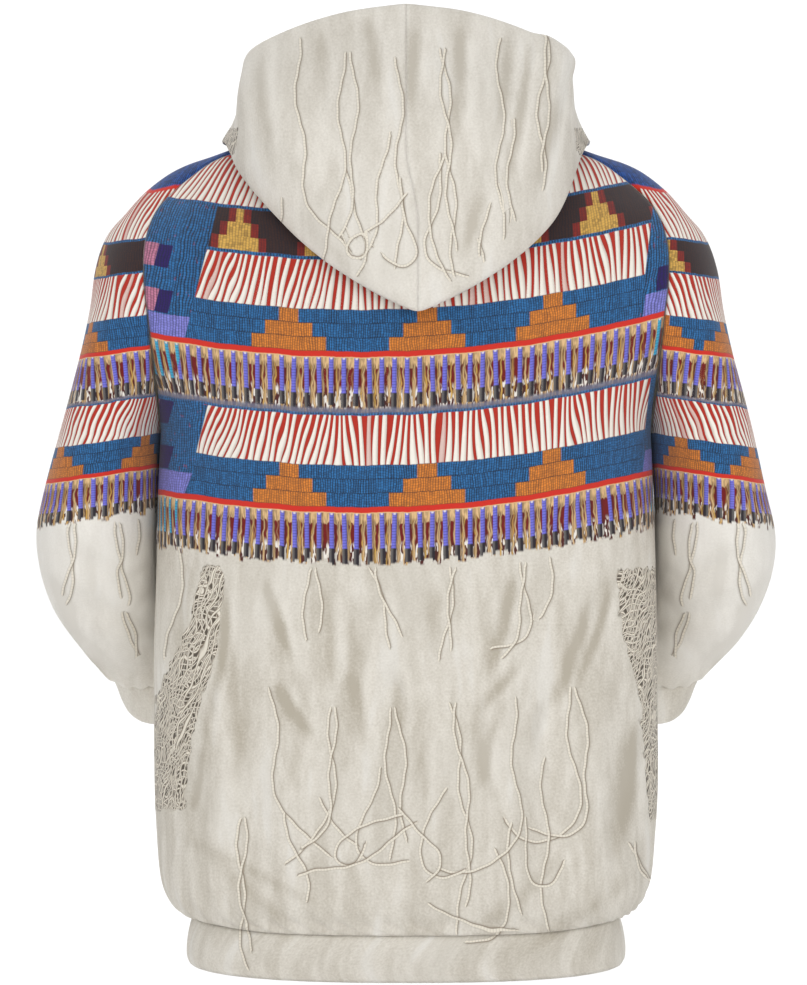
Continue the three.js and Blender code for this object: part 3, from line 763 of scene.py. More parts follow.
def make_fringe():
    """The fringe: beaded tubes with thongs between them. Down runs from 0 to about 46."""
    colours = ["violet", "tube_end", "turquoise", "dark_red", "tan", "gold", "strip", "brown"]
    pen, given, out = new_group("Fringe", ["Across", "Down", "Random", "Turquoise"], colours, COLOUR)
    down = given["Down"]
    across = given["Across"]
    streaks = pen.noise(across * 0.5, down * 0.1, given["Random"])
    tan = pen.blend(streaks.ease(0.4, 0.7) * 0.45, given["tan"], given["brown"])
    shown = pen.blend(down.ease(streaks * 8 + 1, streaks * 8 + 3), tan, given["dark_red"])
    shown = pen.blend(down.ease(20, 36) * 0.7, shown, given["brown"])
    glints = pen.noise(across * 0.34, down * 0.09, given["Random"] + 2).ease(0.48, 0.54)
    shown = pen.blend(glints * pen.inside(down, 26, 47, 4) * 0.92, shown, given["strip"])
    for order, (pitch, wave, colour, thin) in enumerate([
            (6.3, 6.0, "gold", 0.13), (5.1, 7.0, "tan", 0.17), (8.3, 6.5, "tan", 0.12)]):
        path = pen.noise(across * 0.06, down * 0.075, given["Random"] + order * 5.3) - 0.5
        cell = (across + path * wave) / pitch + order * 0.31
        random = pen.chance(cell.floor(), given["Random"] + order)
        off = abs(cell.part() - 0.5)
        reach = down.ease(random[0] * 26 + 34, random[0] * 26 + 30)
        line = off.ease(thin + 0.1, thin) * random[1].ease(0.15, 0.35) * reach * down.ease(0, 5)
        worn = pen.blend(off.ease(0.0, thin) * 0.55 + down.ease(26, 6) * 0.25, given[colour], given["brown"])
        shown = pen.blend(line * 0.92, shown, worn)
    cell = across / TUBE_PITCH + 0.2
    random = pen.chance(cell.floor(), given["Random"])
    lean = (random[1] - 0.5) * down * 0.06
    off = (cell.part() - 0.5) * TUBE_PITCH + lean
    half = down.ease(29, 31) * 0.45 + 2.2
    side = abs(off) / half
    blue = pen.blend(given["Turquoise"], given["violet"], given["turquoise"])
    blue = pen.blend((off / half).ease(0.0, 1.1) * 0.55, blue, TUBE_SHADE)
    bead = abs((down / 2.8).part() - 0.5).ease(0.3, 0.48)
    blue = pen.blend(bead * 0.55, blue, TUBE_SEAM)
    blue = pen.blend(side.ease(0.8, 0.3) * down.ease(-2.2, -3.4) * 0.7, blue, given["strip"])
    ends = pen.blend((off / half).ease(0.3, -0.6) * 0.12, given["tube_end"], given["strip"])
    tube = pen.blend(down.ease(30, 31.5), blue, ends)
    long = down.ease(46 + (random[0] - 0.5) * 5, 44.5 + (random[0] - 0.5) * 5)
    shadow = (off - 1.8) / half
    shown = pen.blend(abs(shadow).ease(1.5, 0.9) * 0.4 * long, shown, TUBE_SHADOW)
    shown = pen.blend(side.ease(1.15, 0.92) * long, shown, tube)
    pen.feed(out.inputs["Colour"], shown)


def make_bands():
    """All the bands of the print. Cover is 1 on them and 0 on the plain hide below."""
    colours = [
        "blue", "royal", "red", "line_red", "orange", "gold", "brown", "tan", "navy", "pink", "lavender"]
    numbers = ["Across", "Down", "Random", "Stepped", "Gold", "Block"]
    pen, given, out = new_group("Bands", numbers, colours, {**COLOUR, "Cover": "NodeSocketFloat"})
    across = given["Across"]
    slow = pen.noise(across * 0.035, given["Random"], 9.0) - 0.5
    ripple = slow * 3 + (pen.noise(across * 0.2, 4.0) - 0.5)
    down = given["Down"] + ripple
    low = down.above(LOWER_SET)
    level = down - low * SET_HEIGHT
    seed = given["Random"] + low * 11
    dark = BETWEEN_BEADS

    def beaded(colour, strings, deep=0.85, vary=0.5):
        """A colour as strings of beads."""
        toned = pen.blend(strings["Tone"].ease(-0.7, 0.7) * vary, colour, dark)
        return pen.blend(strings["Gap"] * deep, toned, dark)

    lane = ((level - BEADWORK) / STEP_HEIGHT).floor()
    tier = ((level - DARK_ROW) / DARK_STEP).floor()
    in_tiers = level.ease(-94.5, -95.0)
    on_block = given["Block"].ease(-0.6, 0.6) * pen.inside(level, DARK_ROW, RED_LINE)
    on_block = on_block * pen.math("MAXIMUM", level.ease(-97.6, -96.4), 1 - low)
    in_block = on_block.above(0.5)
    row = pen.pick(in_block, pen.pick(in_tiers.above(0.5), lane, tier + 50), 40.0)
    pitch = pen.pick(in_block, pen.pick(in_tiers.above(0.5), 2.5, 3.1), 3.4)
    strings = pen.call(
        "Bead strings", Across=across + level * 0.12 * in_block, Down=level, Lane=row + seed, Pitch=pitch,
        Sway=in_block * 3 + 5)
    plain = beaded(given["blue"], strings)
    royal = beaded(given["royal"], strings)
    orange = beaded(given["orange"], strings, 0.62, 0.35)
    step_half = lane * STEP_HEIGHT + 10
    stepped = given["Stepped"].ease(step_half + 0.7, step_half - 0.7)
    beadwork = pen.blend(stepped, plain, orange)
    seam = abs(((level - BEADWORK) / STEP_HEIGHT).part() - 0.5).ease(0.44, 0.5)
    beadwork = pen.blend(seam * 0.7, beadwork, dark)

    gold_half = tier * 8.5 + 4
    brown = beaded(given["brown"], strings, 0.5, 0.3)
    flank = beaded(pen.blend(0.55, given["brown"], given["red"]), strings, 0.4, 0.3)
    gold = pen.blend(strings["Odd"].ease(0.7, 0.85) * 0.35, given["gold"], given["brown"])
    gold = beaded(gold, strings, 0.4, 0.2)
    dark_row = pen.blend(given["Gold"].ease(gold_half + 8.6, gold_half + 7.4), brown, flank)
    dark_row = pen.blend(given["Gold"].ease(gold_half + 0.6, gold_half - 0.6), dark_row, gold)

    top = 1 - level.above(TOP_STRIPS_END)
    share = pen.pick(top, (level - STRIPS) / STRIPS_HIGH, (level - TOP_STRIPS) / TOP_STRIPS_HIGH)
    strips = pen.call("Strips", Across=across, Share=share, Random=seed + top * 3)["Colour"]
    sides = given["Block"].above(pen.pick(across.above(PICTURE_MIDDLE[0]), 0.0, 14.0))
    fringe = pen.call("Fringe", Across=across, Down=level - 8, Random=seed, Turquoise=sides)["Colour"]

    shown = royal
    for start, colour in (
            (TOP_STRIPS - 2, given["line_red"]), (TOP_STRIPS, strips), (TOP_STRIPS_END, plain),
            (DARK_ROW, dark_row), (STRIPS - 4, plain), (STRIPS - 0.5, strips), (BEADWORK, beadwork),
            (RED_LINE, given["line_red"]),
            (2.5, given["tan"]), (3.4, fringe)):
        shown = pen.blend(level.ease(start - 0.6, start + 0.6), shown, colour)

    speck = pen.noise(across * 0.3, level * 0.12, seed).ease(0.66, 0.72) * 0.5
    block = beaded(pen.blend(speck, given["blue"], given["red"]), strings, 0.9, 0.5)
    right = across.above(PICTURE_MIDDLE[0])
    for side, near, deep, top, foot, colour in (
            (1 - right, 33, 47, -93, -70, "navy"), (1 - right, 47, 90, -93, -70, "pink"),
            (1 - right, 22, 36, -48, -25, "navy"), (1 - right, 36, 90, -48, -25, "pink"),
            (1 - right, -2, 90, -24, -2, "lavender"), (right, 13, 90, -48, -25, "navy"),
            (right, 3, 90, -24, -1, "lavender")):
        spot = pen.inside(given["Block"], near, deep) * pen.inside(level, top, foot) * side
        block = pen.blend(spot, block, beaded(given[colour], strings, 0.6, 0.3))
    shown = pen.blend(on_block, shown, block)
    between_sets = pen.inside(down, 53.5, 58.5, 2)
    shown = pen.blend(between_sets * 0.8, shown, BETWEEN_SETS)

    end = pen.chance((across / 4.2).floor(), seed)[0] * 9 + PRINT_END
    cover = down.ease(end + 1.5, end - 1.5)
    pen.feed(out.inputs["Colour"], shown)
    pen.feed(out.inputs["Cover"], cover)


def make_hide():
    """Soft pale hide with its folds printed on it, and painted light where its light input asks for it."""
    pen, given, out = new_group(
        "Hide", ["Across", "Down", "Random", "Shade", "Light"], ["hide", "hide_shade"], COLOUR)
    across = given["Across"]
    down = given["Down"]
    drift = pen.noise(across * 0.012, down * 0.006, given["Random"], 2.0)
    folds = pen.noise(across * 0.04 + drift * 1.6, down * 0.008, given["Random"] + 4, 2.0)
    fine = pen.noise(across * 0.12, down * 0.05, given["Random"] + 8, 3.0)
    grain = pen.noise(across * 0.42, down * 0.42, given["Random"], 2.0)
    share = folds.ease(0.42, 0.62) * 0.3 + (fine - 0.5) * 0.6 + (grain - 0.5) * 0.9
    share = share + given["Shade"] * 1.6 + 0.24
    shown = pen.blend(share, given["hide"], given["hide_shade"])
    shown = pen.blend(drift.ease(0.45, 0.75) * 0.35, shown, HIDE_STAIN)
    shown = pen.blend(folds.ease(0.42, 0.3) * 0.3, shown, HIDE_PALE)
    # Painted light: the hide is blended towards a lighter colour where its light input is above 0
    shown = pen.blend(given["Light"], shown, HIDE_PAINTED_LIGHT)
    pen.feed(out.inputs["Colour"], shown)


def make_thong():
    """A printed thong with its shadow, drawn where Side, the distance to its middle, is near 0."""
    pen, given, out = new_group("Thong", ["Side", "Off", "Along"], ["Under", "thong", "thong_edge"], COLOUR)
    side = given["Side"] + pen.math("SINE", given["Along"] * 0.31) * 0.3
    near = given["Off"].ease(4.5, 2.5)
    shadow = side.ease(0.0, 1.2) * side.ease(5.0, 1.4) * near
    shown = pen.blend(shadow * 0.3, given["Under"], given["thong_edge"])
    rim = side.ease(-2.4, -1.5) * side.ease(1.5, 0.6) * near
    shown = pen.blend(rim * 0.22, shown, given["thong_edge"])
    line = side.ease(0.5, 1.1) * side.ease(2.4, 1.4) * near
    shown = pen.blend(line * 0.7, shown, given["thong_edge"])
    body = side.ease(-1.5, -0.85) * side.ease(1.15, 0.55) * near
    twist = (given["Along"] / 3.1).part().ease(0.7, 0.95) * 0.3
    lit = pen.blend(twist, given["thong"], given["thong_edge"])
    pen.feed(out.inputs["Colour"], pen.blend(body, shown, lit))


def make_tangle():
    """Tangled fine fringe over dark gaps, shown where Mask is 1."""
    colours = ["Under", "thong", "thong_edge", "tangle_gap"]
    pen, given, out = new_group("Tangle", ["Across", "Down", "Random", "Mask"], colours, COLOUR)
    across = given["Across"]
    down = given["Down"]
    holes = pen.noise(across * 0.09, down * 0.07, given["Random"] + 2, 1.0)
    mask = (given["Mask"] + (holes - 0.5) * 1.1).ease(0.42, 0.58)
    shown = pen.blend(mask * 0.5, given["Under"], given["thong_edge"])
    shown = pen.blend(holes.ease(0.4, 0.52) * mask * 0.95, shown, given["tangle_gap"])
    for order, (turn, wander) in enumerate(((0.2, 6.5), (1.25, 6.0), (0.75, 5.0), (0.5, 4.0))):
        x = across * math.cos(turn) + down * math.sin(turn)
        y = down * math.cos(turn) - across * math.sin(turn)
        path = pen.noise(x * 0.045, y * 0.03, given["Random"] + order * 3.1, 0.0) * wander + x * 0.165
        off = abs(path.part() - 0.5)
        shown = pen.blend(off.ease(0.21, 0.14) * 0.75 * mask, shown, given["thong_edge"])
        shown = pen.blend(off.ease(0.13, 0.06) * mask, shown, given["thong"])
    pen.feed(out.inputs["Colour"], shown)


def make_knit():
    """The fine unevenness of brushed knit, as a height for a bump."""
    pen, given, out = new_group("Knit", ["Across", "Down"], [], {"Height": "NodeSocketFloat"})
    rows = pen.noise(given["Across"] * 1.2, given["Down"] * 0.9, 1.0, 2.0)
    slow = pen.noise(given["Across"] * 0.15, given["Down"] * 0.1, 5.0, 2.0)
    pen.feed(out.inputs["Height"], rows * 0.5 + slow * 0.5)


FINISHES = ("Plain cloth", "Reverse", "Banded cloth", "Tangled cloth")
BANDS_END = 215             # the bands and their loose ends are above this
SHEEN_ROUGHNESS = 0.6
SPECULAR = 0.2
KNIT_HEIGHT = 0.0012        # metres


def cloth_material(name, draw):
    """A soft matt material whose colour is drawn by a function of its pen."""
    material = bpy.data.materials.new(name)
    material.use_nodes = True
    tree = material.node_tree
    pen = Pen(tree)
    shader = tree.nodes["Principled BSDF"]
    colours = bpy.context.scene.hoodie_colours
    shader.inputs["Roughness"].default_value = colours.roughness
    shader.inputs["Sheen Weight"].default_value = colours.sheen
    shader.inputs["Sheen Roughness"].default_value = SHEEN_ROUGHNESS
    shader.inputs["Specular IOR Level"].default_value = SPECULAR
    across, down, _ = pen.attribute("print_place")
    pen.feed(shader.inputs["Base Color"], draw(pen))
    bump = pen.node("ShaderNodeBump")
    bump.inputs["Strength"].default_value = colours.knit_depth
    bump.inputs["Distance"].default_value = KNIT_HEIGHT
    pen.feed(bump.inputs["Height"], pen.call("Knit", Across=across, Down=down)["Height"])
    tree.links.new(bump.outputs["Normal"], shader.inputs["Normal"])
    return material


def draw_hide(pen):
    """Hide with thongs; returns its colour."""
    across, down, seed = pen.attribute("hide_place")
    # The third number of looks is painted light
    shade, _, light = pen.attribute("looks")
    shown = pen.call("Hide", Across=across, Down=down, Random=seed, Shade=shade, Light=light)["Colour"]
    for name in THONG_SETS:
        side, off, along = pen.attribute(name)
        shown = pen.call("Thong", Side=side, Off=off, Along=along, Under=shown)["Colour"]
    return shown


def draw_tangle(pen):
    """Hide with tangled fringe; returns its colour."""
    across, down, seed = pen.attribute("hide_place")
    # The third number of looks is painted light
    shade, tangle, light = pen.attribute("looks")
    shown = pen.call("Hide", Across=across, Down=down, Random=seed, Shade=shade, Light=light)["Colour"]
    return pen.call("Tangle", Across=across, Down=down, Random=seed, Mask=tangle, Under=shown)["Colour"]


def draw_print(pen):
    """The bands over the hide; returns the colour."""
    across, down, seed = pen.attribute("print_place")
    stepped, gold, block = pen.attribute("marks")
    bands = pen.call("Bands", Across=across, Down=down, Random=seed, Stepped=stepped, Gold=gold, Block=block)
    return pen.blend(bands["Cover"], draw_hide(pen), bands["Colour"])


def draw_reverse(pen):
    """The unprinted inside of the cloth."""
    across, down, _ = pen.attribute("print_place")
    fine = pen.noise(across * 0.5, down * 0.5, 2.0, 2.0)
    colours = bpy.context.scene.hoodie_colours
    return pen.blend(fine * 0.3, tuple(colours.reverse), tuple(colours.hide_shade))


# Where the print falls


def picture_place(points, depth):
    """Where places show in the picture taken from behind: across from the left, and down."""
    nearer = CAMERA_FAR / (CAMERA_FAR - depth)
    across = PICTURE_MIDDLE[0] - points[..., 0] * nearer / PICTURE_SCALE
    down = PICTURE_MIDDLE[1] - (points[..., 2] - CAMERA_HIGH) * nearer / PICTURE_SCALE
    return across, down


def rounded(line, parts):
    """A line with its corners rounded."""
    return np.stack(between(line, np.linspace(0, len(line) - 1, (len(line) - 1) * parts + 1)), -1)


def hanging(across, down, length, lean, curl, strands):
    """The lines of loose thongs that hang together: each sways as it falls and curls at its lower end."""
    lines = []
    for strand in range(strands):
        start = across + THONG_APART * strand
        reach = length * (1 - 0.12 * strand)
        parts = max(4, round(reach / 9))
        share = np.arange(1, parts + 1) / parts
        sway = THONG_SWAY * np.sin(share * reach / THONG_WAVE + start * 0.7)
        turn = lean + sway + curl * ease(share, 0.5, 1) * (1 - 0.3 * strand)
        x = start + np.cumsum(np.sin(turn)) * reach / parts
        y = down + np.cumsum(np.cos(turn)) * reach / parts
        lines.append([(start, down), *zip(x, y)])
    return lines


def thong_fields(across, down, lines, reach=14.0):
    """For each place: the distance to the nearest line with its side, without it, and how far along."""
    side = np.full(across.shape, 60.0)
    off = np.full(across.shape, 60.0)
    along = np.zeros(across.shape)
    for line in lines:
        path = rounded(line, 2)
        length = 0.0
        for (x0, y0), (x1, y1) in zip(path[:-1], path[1:]):
            step_x, step_y = x1 - x0, y1 - y0
            span = math.hypot(step_x, step_y)
            near = (np.abs(across - x0) < reach + span) & (np.abs(down - y0) < reach + span)
            if near.any() and span > 0:
                at_x = across[near] - x0
                at_y = down[near] - y0
                share = (at_x * step_x + at_y * step_y) / span ** 2
                held = np.clip(share, 0, 1)
                away = np.hypot(at_x - held * step_x, at_y - held * step_y)
                signed = (at_x * step_y - at_y * step_x) / span
                closer = away < off[near]
                beside = np.where(np.abs(signed) > away * 0.3, np.sign(signed) * away, signed)
                side[near] = np.where(closer, beside, side[near])
                along[near] = np.where(closer, length + held * span, along[near])
                off[near] = np.where(closer, away, off[near])
            length += span
    return np.stack([side, off, along], -1)


def spread(lines, apart=9.0):
    """The lines shared out so that no two in a set come near each other, as far as the sets allow."""
    sets = [[] for _ in THONG_SETS]
    for line in lines:
        path = rounded(line, 2)
        room = [min([np.hypot(*(path[:, None] - rounded(other, 2)[None]).transpose(2, 0, 1)).min()
                     for other in held], default=1e3) for held in sets]
        best = next((k for k, free in enumerate(room) if free > apart), int(np.argmax(room)))
        sets[best].append(line)
    return sets


def draw_thongs(data, across, down, thongs, shown=None):
    """Adds each set of thongs to a piece's attributes, where shown is true."""
    lines = [line for thong in thongs for line in hanging(*thong)]
    for name, held in zip(THONG_SETS, spread(lines)):
        data[name] = thong_fields(across, down, held)
        if shown is not None:
            data[name][~shown] = FAR_OFF


def soft_bands(across, down, bands):
    """How dark the printed folds are at each place; less than 0 is lighter than the cloth about them."""
    total = np.zeros(across.shape)
    for line, half, strength in bands:
        path = rounded(line, 4)
        for shift, wide, share_of_it in ((0, half, 1.0), (half * 1.5, half * 0.7, -0.4)):
            away = np.full(across.shape, 1e3)
            place = np.zeros(across.shape)
            for number, ((x0, y0), (x1, y1)) in enumerate(zip(path[:-1], path[1:])):
                at_x, at_y = across - x0 - shift, down - y0
                step_x, step_y = x1 - x0, y1 - y0
                share = np.clip((at_x * step_x + at_y * step_y) / (step_x ** 2 + step_y ** 2), 0, 1)
                off = np.hypot(at_x - share * step_x, at_y - share * step_y)
                place = np.where(off < away, (number + share) / (len(path) - 1), place)
                away = np.minimum(away, off)
            fade = ease(place, -0.1, 0.3) * ease(1 - place, -0.1, 0.4)
            total += strength * share_of_it * fade * np.exp(-(away / wide) ** 2)
    return total


def depth_inside(across, down, corners):
    """How far each place is inside a shape with these corners; less than 0 is outside."""
    away = np.full(across.shape, 1e3)
    inside = np.zeros(across.shape, bool)
    for (x0, y0), (x1, y1) in zip(corners, corners[1:] + corners[:1]):
        step_x, step_y = x1 - x0, y1 - y0
        share = np.clip(((across - x0) * step_x + (down - y0) * step_y) / (step_x ** 2 + step_y ** 2), 0, 1)
        away = np.minimum(away, np.hypot(across - x0 - share * step_x, down - y0 - share * step_y))
        if y0 != y1:
            crosses = ((y0 > down) != (y1 > down)) & (across < x0 + (down - y0) * step_x / step_y)
            inside ^= crosses
    return np.where(inside, away, -away)


def from_middle(place, middles, repeat):
    """The distance to the nearest of a row of middles that goes on at both ends."""
    first = [middles[0] - repeat * k for k in range(1, 6)]
    last = [middles[-1] + repeat * k for k in range(1, 6)]
    return np.min([np.abs(place - m) for m in (*first, *middles, *last)], axis=0)


def body_print(points, back):
    """The print on the back or front: its places, marks, thongs and looks."""
    depth = points[..., 1] if back else -points[..., 1]
    across, down = picture_place(points, depth)
    middle, top, lean, sag = BACK_SEAT
    turned = (across - PICTURE_MIDDLE[0]) / middle
    level = down - (top - lean * turned - sag * turned ** 2)
    along = arc(points * (1, 1, 0), 1)
    turned_round = points[:, :, 0].argsort(axis=1)
    centre = np.array([
        np.interp(0, x[order], place[order])
        for x, place, order in zip(points[..., 0], along, turned_round)])[:, None]
    side = np.sign(-np.gradient(points[..., 0], axis=1))
    flat = PICTURE_MIDDLE[0] + (along - centre) * side / PRINT_SCALE
    low = np.where(level > LOWER_SET, level - SET_HEIGHT, level)
    slope = (low - STRIPS) / STRIPS_HIGH
    block = np.maximum(207 - 12 * slope - across, across - (651 - 6 * slope))
    stepped = from_middle(flat, STEPPED_MIDDLES, STEPPED_REPEAT)
    marks = np.stack([stepped, from_middle(flat, GOLD_MIDDLES, GOLD_REPEAT), block], -1)
    seed = np.full(across.shape, 1.0 if back else 5.0)
    data = {
        "print_place": np.stack([flat, level, seed], -1),
        "hide_place": np.stack([flat, down, seed], -1),
        "marks": marks,
    }
    shade = soft_bands(across, down, SHADES)
    tangle = np.zeros(across.shape)
    if back:
        left = depth_inside(across, down, TANGLE_LEFT)
        right = depth_inside(across, down, TANGLE_RIGHT)
        tangle = ease(np.maximum(left, right), -6, 6) * ease(down, 556, 580)
        draw_thongs(data, across, down, THONGS)
    data["looks"] = np.stack([shade, tangle, 0 * shade], -1)
    return data


def sleeve_print(points, seed):
    """The print on the left sleeve."""
    depth = np.abs(points[..., 1])
    across, down = picture_place(points, depth)
    true_across, true_down = picture_place(points, points[..., 1])
    middle, top, lean = SLEEVE_SEAT
    level = down - (top + lean * (middle - across))
    level = np.interp(level, [a for a, _ in SLEEVE_DOWN], [b for _, b in SLEEVE_DOWN])
    along = arc(points * (1, 1, 0), 1) / PRINT_SCALE
    rear = points.shape[1] // 5
    flat = true_across[:, rear:rear + 1] + along[:, rear:rear + 1] - along
    upper, lower, gold = SLEEVE_MIDDLES[seed]
    away = [
        np.min([np.abs(flat - middle) for middle in middles], axis=0) for middles in (upper, lower, gold)]
    stepped = np.where(level > LOWER_SET, away[1], away[0])
    marks = np.stack([stepped, away[2], np.full(flat.shape, -20.0)], -1)
    seeds = np.full(flat.shape, float(seed))
    shade = 0.3 * np.exp(-((true_across - 96) / 7) ** 2) * ease(true_down, 520, 560)
    shade = shade + soft_bands(true_across, true_down, SLEEVE_SHADES)
    slanting = true_across - 60 - (true_down - 600) * 0.35
    shade = shade + 0.35 * np.exp(-(slanting / 8) ** 2) * ease(true_down, 560, 600)
    seen = points[..., 1] > -40
    data = {
        "print_place": np.stack([flat, level, seeds], -1),
        "hide_place": np.stack([flat, 190 + arc(points, 0) / PRINT_SCALE, seeds], -1),
        "marks": marks,
        # The third number is painted light: the rear of the sleeve is painted lighter, as if more light fell
        # on it
        "looks": np.stack([shade, 0 * shade, 0.5 * ease(points[..., 1], -110, -20)], -1),
    }
    draw_thongs(data, true_across, true_down, SLEEVE_THONGS, seen)
    return data


def plain_print(points, seed, shades=(), thongs=(), shown=None, tangles=(), light=0.0):
    """Plain hide, with folds, thongs and tangled fringe where they are given, and painted light of the given
    strength.
    """
    across, down = picture_place(points, points[..., 1])
    seeds = np.full(across.shape, float(seed))
    shade = soft_bands(across, down, shades) if shades else 0 * across
    round_it = arc(points * (1, 1, 0), 1) / PRINT_SCALE
    way = np.sign(across[:, 3:4] - across[:, :1])
    flat = across[:, :1] + way * round_it
    data = {
        "print_place": np.stack([flat, down, seeds], -1),
        "hide_place": np.stack([flat, down, seeds], -1),
    }
    rear = points[..., 1] > 0
    tangle = sum(ease(depth_inside(across, down, shape), -3, 3) for shape in tangles) * rear
    # The third number of looks is painted light
    data["looks"] = np.stack([shade, tangle + 0 * shade, 0 * shade + light], -1)
    draw_thongs(data, across, down, thongs, rear if shown is None else rear & shown)
    return data


# Making the cloth


def cloth_shell(name, points, normals, data, sign, tube_from=None, banded=False):
    """A thin closed shell under a grid of places, printed on its outer side."""
    rows, columns = points.shape[:2]
    wall = bpy.context.scene.hoodie_sizes.wall * 1000
    number = np.arange(rows * columns).reshape(rows, columns)
    welded = number.copy()
    if tube_from is not None:
        welded[tube_from:, -1] = number[tube_from:, 0]
    a, b = (slice(None, -1), slice(None, -1)), (slice(1, None), slice(None, -1))
    c, d = (slice(1, None), slice(1, None)), (slice(None, -1), slice(1, None))
    order = (a, b, c, d) if sign > 0 else (a, d, c, b)
    grid = np.stack([number[k].ravel() for k in order], -1)
    outer = np.stack([welded[k].ravel() for k in order], -1)
    total = rows * columns
    inner = outer[:, ::-1] + total
    rims, rim_grid = [], []
    along = [(number[0, i + 1], number[0, i]) for i in range(columns - 1)]
    along += [(number[-1, i], number[-1, i + 1]) for i in range(columns - 1)]
    open_rows = rows - 1 if tube_from is None else tube_from
    along += [(number[i, 0], number[i + 1, 0]) for i in range(open_rows)]
    along += [(number[i + 1, -1], number[i, -1]) for i in range(open_rows)]
    flat = welded.ravel()
    for first, second in along:
        one, two = (first, second) if sign > 0 else (second, first)
        rims.append((flat[two], flat[one], flat[one] + total, flat[two] + total))
        rim_grid.append((two, one, one, two))
    faces = np.concatenate([outer, inner, np.array(rims)])
    corners = np.concatenate([grid, grid[:, ::-1], np.array(rim_grid)]).ravel()
    places = np.concatenate([points.reshape(-1, 3), (points - normals * wall).reshape(-1, 3)]) / 1000
    used, faces = np.unique(faces, return_inverse=True)
    faces = faces.reshape(-1, 4)
    mesh = bpy.data.meshes.new(name)
    mesh.vertices.add(len(used))
    mesh.vertices.foreach_set("co", places[used].ravel())
    mesh.loops.add(faces.size)
    mesh.loops.foreach_set("vertex_index", faces.ravel())
    mesh.polygons.add(len(faces))
    mesh.polygons.foreach_set("loop_start", np.arange(len(faces)) * 4)
    on_rim = np.arange(len(faces)) >= len(outer) + len(inner)
    mesh.polygons.foreach_set("use_smooth", ~on_rim)
    finish = np.zeros(len(faces), int)
    finish[len(outer):len(outer) + len(inner)] = 1
    shown = finish[:len(outer)]
    shown[(data["looks"].reshape(-1, 3)[grid, 1] > 0.001).any(axis=1)] = 3
    if banded:
        shown[(data["print_place"].reshape(-1, 3)[grid, 1] < BANDS_END).any(axis=1)] = 2
    mesh.polygons.foreach_set("material_index", finish)
    for finish_name in FINISHES:
        mesh.materials.append(bpy.data.materials[finish_name])
    data = {**{name: np.broadcast_to(FAR_OFF, points.shape) for name in THONG_SETS}, **data}
    for key, values in data.items():
        layer = mesh.attributes.new(key, "FLOAT_VECTOR", "CORNER")
        layer.data.foreach_set("vector", values.reshape(-1, 3)[corners].ravel())
    mesh.update(calc_edges=True)
    mesh.validate()
    piece = bpy.data.objects.new(name, mesh)
    bpy.context.scene.collection.objects.link(piece)
    return piece


def mirrored(points):
    """The places on the other side of the garment."""
    return points * np.array([-1.0, 1.0, 1.0])


def seat(piece, node):
    """Joins a piece to the frame and hides the solid it stands for."""
    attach(piece, "root")
    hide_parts(node)


def make_panel(back):
    """The back panel or the front panel."""
    sizes = bpy.context.scene.hoodie_sizes
    step = sizes.step * 1000 * (1 if back else 2)
    node = "back_panel" if back else "front_panel"
    turn = 1 if back else -1
    last = UNDERARM + len(TRUNK) - 1
    points, _, across = even_grid(lambda r, a: panel_points(r, a, back), last, (turn, -turn), step)
    points = smoothed(points, 4)
    data = body_print(points, back)
    sign = 1
    normals = grid_normals(points, sign)
    x, z = points[..., 0], points[..., 2]
    high = sum(ridge(x, z, crease) for crease in (BACK_CREASES if back else FRONT_CREASES)) * sizes.creases
    high = high + undulation(points, 3 if back else 4, 0.8, 120)
    edge = ease(np.abs(np.abs(across) - 1), 0, 0.05)
    high = high * edge * ease(z, -668, -630)
    off = arc(points, 0)[-1:] - arc(points, 0)
    high = high + gathers(arc(points, 1), off, BODY_PUCKERS, 11 if back else 12) * edge * ease(off, 0, 14)
    roll = rolled(points, ("left", "right", "top"), sizes.seam_turn * 1000, SEAM_WIDTH)
    points = points + normals * (high + roll)[..., None] + levelled(points, off, 24, sizes)
    normals = grid_normals(points, sign)
    piece = cloth_shell("printed_" + node, points, normals, data, sign, banded=True)
    seat(piece, node)


def make_sleeve(left):
    """One sleeve with its saddle, made on the left and mirrored for the right."""
    sizes = bpy.context.scene.hoodie_sizes
    last = UNDERARM + len(ARM) - 1
    points, rows, around = even_grid(sleeve_points, last, (1, -1), sizes.step * 1000)
    tube_from = int(np.searchsorted(rows, UNDERARM))
    points[tube_from:, -1] = points[tube_from:, 0]
    data = sleeve_print(points, 2 if left else 3)
    normals = grid_normals(points, -1, tube_from)
    x, z = points[..., 0], points[..., 2]
    rear = ease(points[..., 1], -60, 0)
    high = sum(ridge(x, z, crease) for crease in SLEEVE_CREASES) * sizes.creases * mix(0.6, 1, rear)
    high = high + undulation(points, 6 if left else 7, 0.8, 110)
    edge = ease(1 - np.abs(around), 0, 0.06)
    below = (rows >= UNDERARM)[:, None]
    edge = np.where(below, 1, edge)
    off = arc(points, 0)[-1:] - arc(points, 0)
    puckers = gathers(arc(points, 1), off, SLEEVE_PUCKERS, 13) * np.where(below, 1, 0)
    high = high * edge * ease(off, 0, 25) + puckers
    high[tube_from:, -1] = high[tube_from:, 0]
    sides = rolled(points, ("left", "right"), sizes.seam_turn * 1000, SEAM_WIDTH) * (1 - below)
    ends = rolled(points, ("top", "bottom"), sizes.seam_turn * 1000, SEAM_WIDTH)
    points = points + normals * (high + np.minimum(sides, ends))[..., None]
    points[tube_from:, -1] = points[tube_from:, 0]
    normals = grid_normals(points, -1, tube_from)
    sign = -1
    node = "sleeve_left" if left else "sleeve_right"
    if not left:
        points, normals, sign = mirrored(points), mirrored(normals), 1
    piece = cloth_shell("printed_" + node, points, normals, data, sign, tube_from, banded=True)
    seat(piece, node)


